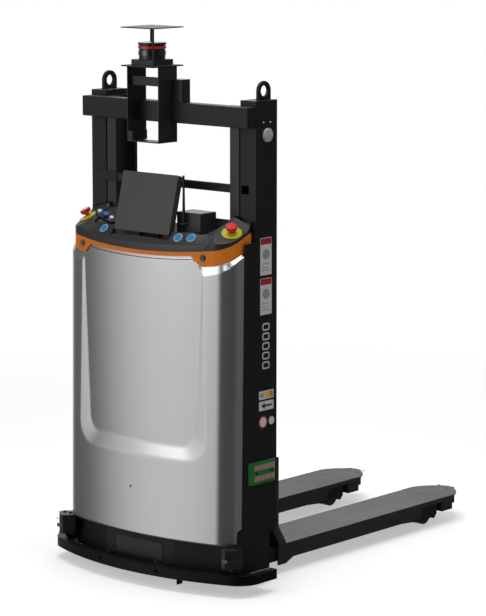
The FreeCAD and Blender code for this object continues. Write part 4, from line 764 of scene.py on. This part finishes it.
def deckHeight(x, depth, offset):
    # height over the crown's plane
    size, wide = deckSizes, abs(x)
    inset = edgeInset(x, depth)
    fascia = size["lip"] + size["fasciaSlope"] * min(inset, size["fasciaDeep"])
    pod = size["podTop"] - size["podFall"] * max(0, wide - size["podRidge"])
    pod = min(pod, size["lip"] + size["podRamp"] * inset)
    blend = smoothShare(wide, *size["blend"])
    high = fascia + (pod - fascia) * blend
    high -= size["round"] * max(0, 1 - inset / size["rimRun"]) ** 2
    climb = min(1, max(0, (wide - size["podInner"]) / (size["podRidge"] - size["podInner"])))
    inner = size["tray"] + (size["podTop"] - size["tray"]) * climb
    if wide < size["podInner"]:
        keep = 1 if offset < size["fasciaDeep"] + size["slack"] else 0
    else:
        ridge = size["fasciaDeep"] + size["podCurl"] * climb ** 5
        keep = smoothShare((ridge - offset) / size["soft"], -0.5, 0.5)
    if wide < size["notchHalf"] and depth > size["notchAt"] + size["slack"]:
        keep = 0
    level = inner + (high - inner) * keep
    if wide > size["podInner"]:
        level += max(0, depth - size["finAt"]) * size["finSlope"] * smoothShare(wide, *size["finFrom"])
    if wide > size["wallIn"] and depth > size["rear"] - size["wallTread"]:
        level = max(level, size["wallTop"] - crownLevel(mastFront + depth))
    return level


def buildDeck():
    size = deckSizes
    riser = size["riser"]
    nearRows, fasciaEnd = size["nearRows"], size["nearRows"] + size["midRows"]
    trayEnd = fasciaEnd + size["farRows"]
    rows = trayEnd + 3
    bm = bmesh.new()
    bmesh.ops.create_grid(bm, x_segments=size["columns"], y_segments=rows, size=1.0)
    for vert in bm.verts:
        x = size["half"] * math.sin(vert.co.x * math.pi / 2)
        row = round((vert.co.y + 1) / 2 * rows)
        front = crownFront(x)
        notch = min(0.020, max(0.012, size["notchAt"] - front))
        far = size["rear"] - size["wallRun"] - front
        if row <= nearRows:
            offset = notch * row / nearRows
        elif row <= fasciaEnd:
            share = (row - nearRows - 1) / (size["midRows"] - 1)
            offset = notch + riser + (size["fasciaDeep"] - notch - riser) * share
        elif row <= trayEnd:
            share = (row - fasciaEnd - 1) / (size["farRows"] - 1)
            offset = size["fasciaDeep"] + riser + (far - size["fasciaDeep"] - riser) * share
        else:
            offset = far + (size["wallRun"], riser, size["wallRun"])[row - trayEnd - 1]
        depth = front + offset
        level = deckHeight(x, depth, offset)
        vert.co = (x, mastFront + depth, crownLevel(mastFront + depth) + level)
    # the rim runs down to the band, and one face closes the shell below
    rim = [edge for edge in bm.edges if edge.is_boundary]
    skirt = bmesh.ops.extrude_edge_only(bm, edges=rim)["geom"]
    for vert in (item for item in skirt if isinstance(item, bmesh.types.BMVert)):
        vert.co.z = crownLevel(vert.co.y) + 0.0003
    bmesh.ops.holes_fill(bm, edges=[edge for edge in bm.edges if edge.is_boundary], sides=0)
    piece = addPiece("console_shell", bm, deckSlot, flatAngle=34)
    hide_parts("console_deck")


buildDeck()


def facePlace(x, offset, lift=0.0):
    # a place on the sloping fascia and the way it faces
    depth = crownFront(x) + offset
    level = crownLevel(mastFront + depth) + deckHeight(x, depth, offset)
    lean = math.tan(crownSizes["tilt"]) + deckSizes["fasciaSlope"]
    side = x / crownSizes["arc"]
    facing = Vector((lean * side * 0.6, -lean, 1)).normalized()
    return Vector((x, mastFront + depth, level)) + facing * lift, facing


consoleDiscs = ((0.1775, 0.0217), (0.2314, 0.0221), (-0.1902, 0.0223))
discLayers = (("rim", 0.0178, -0.0008, 0.0018, "white"), ("cap", 0.0156, 0.0006, 0.0012, "blue"))


def buildConsoleDiscs():
    # plain round pushers with a pale rim
    for index, (x, offset) in enumerate(consoleDiscs):
        for label, radius, lift, thick, tone in discLayers:
            place, facing = facePlace(x, offset, lift)
            bm = bmesh.new()
            discAt(bm, place, facing, radius, thick, 40, radius * 0.97)
            addPiece(f"console_disc_{label}_{index}", bm, deckSlot, tone)


slotSizes = {"half": 0.136, "depths": (-0.1755, -0.100), "lift": 0.0004, "thick": 0.0008,
             "faceDepths": (-0.1766, -0.1758), "faceLevels": (1.240, 1.2625)}


def buildGapShade():
    # dark floor and front face of the slot in which the display's lower edge swings: painted shade in the
    # gap under the display
    size = slotSizes
    bm = bmesh.new()
    bmesh.ops.create_grid(bm, x_segments=1, y_segments=1, size=1.0)
    for vert in bm.verts:
        y = mastFront + size["depths"][0 if vert.co.y < 0 else 1]
        vert.co = (vert.co.x * size["half"], y, crownLevel(y) + deckSizes["tray"] + size["lift"])
    thickenUp(bm, size["thick"])
    near, far = (mastFront + depth for depth in size["faceDepths"])
    boxAt(bm, (-size["half"], near, size["faceLevels"][0]), (size["half"], far, size["faceLevels"][1]))
    addPiece("console_slot_shade", bm, deckSlot, "shadeAndSeamDark")


buildConsoleDiscs()
buildGapShade()
print("console built")

# lower front: a hem under the skirt, a tray inside the bumper and the sensors' windows and feet

skirtSizes = {"side": 0.395, "sideDepth": -0.1032, "bend": 0.166, "faceDepth": -0.184, "rear": -0.095,
              "low": 0.0575, "top": 0.0885, "wall": 0.004,
              "facetRun": 0.229, "facetDeep": 0.081}
skirtSlot, bumperSlot = slotOf["front_skirt"], slotOf["front_bumper"]


def stripAlong(bm, points, low, top, thick):
    # an upright strip whose outer face follows a line of plan points
    for (x0, y0), (x1, y1) in zip(points, points[1:]):
        run = Vector((x1 - x0, y1 - y0))
        turn = math.atan2(run.y, run.x)
        middle = Matrix.Translation(((x0 + x1) / 2, (y0 + y1) / 2, (low + top) / 2))
        place = (middle @ Matrix.Rotation(turn, 4, "Z") @ Matrix.Translation((0, thick / 2, 0))
                 @ Matrix.Diagonal((run.length, thick, top - low, 1)))
        bmesh.ops.create_cube(bm, size=1.0, matrix=place)


def buildHem():
    size = skirtSizes
    half = size["wall"] / 2
    points = [(-size["side"], size["sideDepth"]), (-size["bend"], size["faceDepth"]),
              (size["bend"], size["faceDepth"]), (size["side"], size["sideDepth"])]
    bm = bmesh.new()
    stripAlong(bm, [(x, mastFront + depth) for x, depth in points], size["low"], size["top"], size["wall"])
    for side in (-1, 1):
        boxAt(bm, (side * size["side"] - half, mastFront + size["sideDepth"], size["low"]),
              (side * size["side"] + half, mastFront + size["rear"], size["top"]))
    addPiece("skirt_hem", bm, skirtSlot)


traySizes = {
    "low": 0.0500, "thick": 0.0045, "half": 0.472, "columns": 120, "arc": 1.103, "front": -0.239,
    "corner": 0.393, "cornerDepth": -0.0905, "cornerRadius": 0.080, "bend": 0.166, "bendDepth": -0.180,
    "slope": skirtSizes["facetDeep"] / skirtSizes["facetRun"], "side": 0.398, "sideDepth": -0.092,
    "endRun": 0.010, "endDeep": 0.100,
    "strap": (0.150, 0.195), "strapDepth": -0.192,
}


def trayFront(wide):
    size = traySizes
    if wide < size["corner"]:
        return size["front"] + size["arc"] - math.sqrt(size["arc"] ** 2 - wide ** 2)
    return size["cornerDepth"] - math.sqrt(max(size["cornerRadius"] ** 2 - (wide - size["corner"]) ** 2, 0))


def trayBack(wide):
    # clear of the strap, the casters and the drive over the bumper's travel
    size = traySizes
    if size["strap"][0] < wide < size["strap"][1]:
        return size["strapDepth"]
    if wide < size["bend"]:
        return size["bendDepth"]
    if wide < size["side"]:
        return size["bendDepth"] + size["slope"] * (wide - size["bend"])
    return size["sideDepth"] + min(1, (wide - size["side"]) / size["endRun"]) * size["endDeep"]


def buildTray():
    size = traySizes
    bm = bmesh.new()
    bmesh.ops.create_grid(bm, x_segments=size["columns"], y_segments=1, size=1.0)
    for vert in bm.verts:
        x = size["half"] * math.sin(vert.co.x * math.pi / 2)
        depth = trayFront(abs(x)) if vert.co.y < 0 else trayBack(abs(x))
        vert.co = (x, mastFront + depth, size["low"])
    thickenUp(bm, size["thick"])
    addPiece("bumper_tray", bm, bumperSlot, body="bumper")


sensorSizes = {
    "half": 0.038, "window": (0.026, 0.014, 0.0016), "windowLevel": 0.42, "pinLevel": 0.36,
    "pinApart": 0.011,
    "footHalf": 0.022, "footDepths": (0.014, 0.030), "footLow": 0.0845, "arm": 0.386,
    "armDepths": (0.018, 0.026), "armLow": 0.095, "capApart": 0.014, "capRadius": 0.0065,
}


def buildSensorParts():
    size = sensorSizes
    low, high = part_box("corner_sensors")
    middle, tall = (low.y + high.y) / 2, high.z - low.z
    up, ahead = Vector((0, 0, 1)), Vector((0, -1, 0))
    window, foot, cap, body = bmesh.new(), bmesh.new(), bmesh.new(), bmesh.new()
    body.from_mesh(nodes["corner_sensors"].data)
    faces = BVHTree.FromBMesh(body)
    body.free()
    for side in (-1, 1):
        centre = side * (high.x - size["half"])
        start = Vector((centre, middle, low.z + tall * size["windowLevel"])) + ahead * 0.3
        spot, facing, _, _ = faces.ray_cast(start, -ahead)
        turn = facing.to_track_quat("Z", "Y").to_matrix().to_4x4()
        place = Matrix.Translation(spot) @ turn @ Matrix.Diagonal((*size["window"], 1))
        bmesh.ops.create_cube(window, size=1.0, matrix=place)
        pinSpot = spot + up * tall * size["pinLevel"] - facing * 0.0005
        for shift in (-size["pinApart"], size["pinApart"]):
            discAt(cap, pinSpot + facing.cross(up) * shift, facing, 0.003, 0.002, 16, 0.0025)
        nearY, farY = (middle + depth for depth in size["footDepths"])
        boxAt(foot, (centre - size["footHalf"], nearY, size["footLow"]),
              (centre + size["footHalf"], farY, low.z + 0.002))
        nearY, farY = (middle + depth for depth in size["armDepths"])
        inner, outer = sorted((side * size["arm"], centre))
        boxAt(foot, (inner, nearY, size["armLow"]), (outer, farY, high.z - 0.010))
        for shift in (-size["capApart"], size["capApart"]):
            discAt(cap, (centre + shift, middle, high.z - 0.0005), up, size["capRadius"], 0.005, 20, 0.0058)
    bevelEdges(foot, 0.0012)
    slot, footSlot = slotOf["corner_sensors"], slotOf["sensor_brackets"]
    addPiece("sensor_windows", window, slot, "glass")
    addPiece("sensor_feet", foot, footSlot)
    addPiece("sensor_caps", cap, slot, "blackScrew")


frontSizes = {
    "screws": ((-0.160, 0.079), (0.079, 0.0776)), "screw": 0.0042, "screwDepth": -0.1838,
    "holes": ((0.165, 0.103), (0.203, 0.102), (0.318, 0.130)), "hole": 0.0042, "sunk": 0.0008,
    "plug": (-0.017, -0.2112, 0.352),
}


def buildFrontFittings():
    # screws of the service panel, holes in the skirt's facets and the plug low in the cover
    size, ahead = frontSizes, (0, -1, 0)
    screws = [(x, mastFront + size["screwDepth"], level) for x, level in size["screws"]]
    addScrews("service_screws", screws, ahead, size["screw"], slotOf["service_panel"])
    # the skirt's holes are dark discs of painted shade
    facet = Vector((skirtSizes["facetDeep"], -skirtSizes["facetRun"], 0)).normalized()
    places = []
    for x, level in size["holes"]:
        depth = mastFront + skirtSizes["faceDepth"] + (x - skirtSizes["bend"]) * traySizes["slope"]
        for side in (-1, 1):
            way = Vector((facet.x * side, facet.y, 0))
            places.append((Vector((x * side, depth, level)) - way * size["sunk"], way, size["hole"]))
    addDiscs("skirt_holes", places, 0.0012, skirtSlot, "shadeAndSeamDark")
    x, depth, level = size["plug"]
    addDiscs("cover_plug", [((x, mastFront + depth, level), ahead, size["hole"])], 0.0006,
             slotOf["front_cover"], "shadeAndSeamDark")


buildHem()
buildTray()
buildSensorParts()
buildFrontFittings()
print("lower front built")

# fork tips: hatch seams, screws and a seam near the heel

forkSizes = {"top": 0.110, "hatch": (0.137, 0.266), "depths": (1.207, 1.262), "line": 0.0012,
             "sunk": 0.001, "proud": 0.0002, "heel": 0.266, "heelDepths": (0.318, 0.395), "screw": 0.0055,
             "screws": ((0.195, 1.334), (0.195, 1.375), (0.261, 1.345), (0.267, 1.376))}


def buildForkMarks():
    size = forkSizes
    slot, half = slotOf["fork_right"], size["line"] / 2
    low, high = size["top"] - size["sunk"], size["top"] + size["proud"]
    start, end = (mastFront + depth for depth in size["depths"])
    heelStart, heelEnd = (mastFront + depth for depth in size["heelDepths"])
    seams, places = bmesh.new(), []
    for side in (-1, 1):
        near, far = sorted(side * value for value in size["hatch"])
        boxAt(seams, (near, start, low), (far, start + size["line"], high))
        for x in (near, far):
            boxAt(seams, (x - half, start, low), (x + half, end, high))
        heel = side * size["heel"]
        boxAt(seams, (heel - half, heelStart, low), (heel + half, heelEnd, high))
        # the screws are sunk dark discs, painted shade in their recesses; the seams are dark joints
        for x, depth in size["screws"]:
            places.append(((side * x, mastFront + depth, size["top"] - 0.0008), (0, 0, 1), size["screw"]))
    addPiece("fork_seams", seams, slot, "shadeAndSeamDark", "carriage")
    addDiscs("fork_screws", places, 0.0012, slot, "shadeAndSeamDark", body="carriage")


buildForkMarks()
print("forks marked")

# camera, floor and light

cameraView = {"turn": 41.07, "rise": 9.36, "lens": 157.6, "place": (6.597, -7.744, 2.591), "reach": 60}


def viewWay(turn, rise):
    # from the aim towards a compass turn, 0 in front and positive to the right, and a rise
    angle, lift = math.radians(turn), math.radians(rise)
    return Vector((math.sin(angle) * math.cos(lift), -math.cos(angle) * math.cos(lift), math.sin(lift)))


def placeCamera():
    back = viewWay(cameraView["turn"], cameraView["rise"])
    data = bpy.data.cameras.new("viewCamera")
    data.lens = cameraView["lens"]
    data.clip_end = cameraView["reach"]
    camera = addObject("viewCamera", data)
    camera.rotation_euler = back.to_track_quat("Z", "Y").to_euler()
    camera.location = cameraView["place"]
    bpy.context.scene.camera = camera


# each band of the world: name, way, cosines where it starts and is full, level
worldSizes = {
    "ambient": 0.16, "gloss": 0.055,
    "bands": (("back", (-0.656, 0.755, 0.0), 0.45, 0.95, 0.72),
              ("panel", (-0.455, -0.889, 0.05), 0.70, 1.02, 0.86),
              ("side", (0.78, 0.62, 0.0), 0.80, 1.10, 0.10)),
}


def lightWorld():
    # white for the eye and for glass, dim grey for the rest; polished faces see soft panels
    # at the front left, the back and the side
    size = worldSizes
    world = bpy.data.worlds.new("studio")
    world.use_nodes = True
    bpy.context.scene.world = world
    tree = world.node_tree
    path = tree.nodes.new("ShaderNodeLightPath").outputs
    look = tree.nodes.new("ShaderNodeTexCoord").outputs["Generated"]
    seen = size["gloss"]
    for label, way, start, end, level in size["bands"]:
        facing = addNode(tree, "ShaderNodeVectorMath", operation="DOT_PRODUCT", label=label)
        feed(tree, facing.inputs[0], look)
        feed(tree, facing.inputs[1], way)
        seen = calc(tree, "ADD", fadeNode(tree, facing.outputs["Value"], start, end, level), seen)
    shiny = calc(tree, "MULTIPLY", path["Is Glossy Ray"], seen)
    clear = calc(tree, "MAXIMUM", path["Is Camera Ray"], path["Is Transmission Ray"])
    plain = calc(tree, "MULTIPLY", path["Is Diffuse Ray"], size["ambient"])
    total = calc(tree, "ADD", calc(tree, "ADD", shiny, clear), plain)
    background = tree.nodes["Background"].inputs
    feed(tree, background["Strength"], total)
    feed(tree, background["Color"], (1, 1, 1, 1))


# name, turn, rise, distance, size, radiance and aim of each lamp
softboxes = (
    ("frontBox", -20, 18, 3.4, (1.8, 1.8), 1.35, (0, -0.6, 1.0)),
    ("edgeBox", 32, 34, 4.2, (1.7, 0.9), 2.6, (0.2, -0.7, 1.2)),
    ("sideHigh", 95, 50, 4.0, (2.0, 2.0), 0.7, (0, -0.5, 0.9)),
    ("topBox", 10, 80, 4.0, (3.0, 3.0), 4.6, (0, 0, 0.9)),
    ("backBox", 215, 26, 4.5, (3.0, 2.0), 1.6, (0, 0, 0.9)),
)


def addSoftbox(name, turn, rise, distance, size, radiance, aim):
    away = viewWay(turn, rise)
    data = bpy.data.lights.new(name, "AREA")
    data.shape = "RECTANGLE"
    data.size, data.size_y = size
    data.energy = radiance * math.pi * size[0] * size[1]
    lamp = addObject(name, data)
    lamp.location = Vector(aim) + away * distance
    lamp.rotation_euler = away.to_track_quat("Z", "Y").to_euler()
    lamp.visible_camera = False


floorSizes = {"half": 14.0, "drop": 0.0005, "near": 1.3, "far": 4.5, "albedo": 0.80, "lift": 0.46}


def buildFloor():
    # white to the eye far out, and a pale floor that keeps the shadow close in
    size = floorSizes
    bm = bmesh.new()
    bmesh.ops.create_grid(bm, x_segments=2, y_segments=2, size=size["half"])
    floor = addObject("studio_floor", meshFromBmesh("studio_floor", bm))
    material, tree, shader = startMaterial("floorPale")
    place = objectPlace(tree)
    reach = addNode(tree, "ShaderNodeVectorMath", operation="LENGTH")
    feed(tree, reach.inputs[0], place)
    seen = tree.nodes.new("ShaderNodeLightPath").outputs["Is Camera Ray"]
    away = calc(tree, "MULTIPLY", seen, fadeNode(tree, reach.outputs["Value"], size["near"], size["far"]))
    pale, black = (size["albedo"],) * 3 + (1,), (0, 0, 0, 1)
    feed(tree, shader.inputs["Base Color"], mixColor(tree, away, pale, black))
    glow = calc(tree, "ADD", calc(tree, "MULTIPLY", seen, size["lift"]),
                    calc(tree, "MULTIPLY", away, 1 - size["lift"]))
    for label, value in (("Roughness", 0.9), ("Specular IOR Level", 0.0), ("Emission Color", (1, 1, 1, 1)),
                         ("Emission Strength", glow)):
        feed(tree, shader.inputs[label], value)
    floor.data.materials.append(material)
    floor.location.z = -size["drop"]
    floor.visible_glossy = False


buildFloor()
placeCamera()
lightWorld()
for settings in softboxes:
    addSoftbox(*settings)
bpy.context.scene.view_settings.view_transform = "Standard"

print("scene ready")
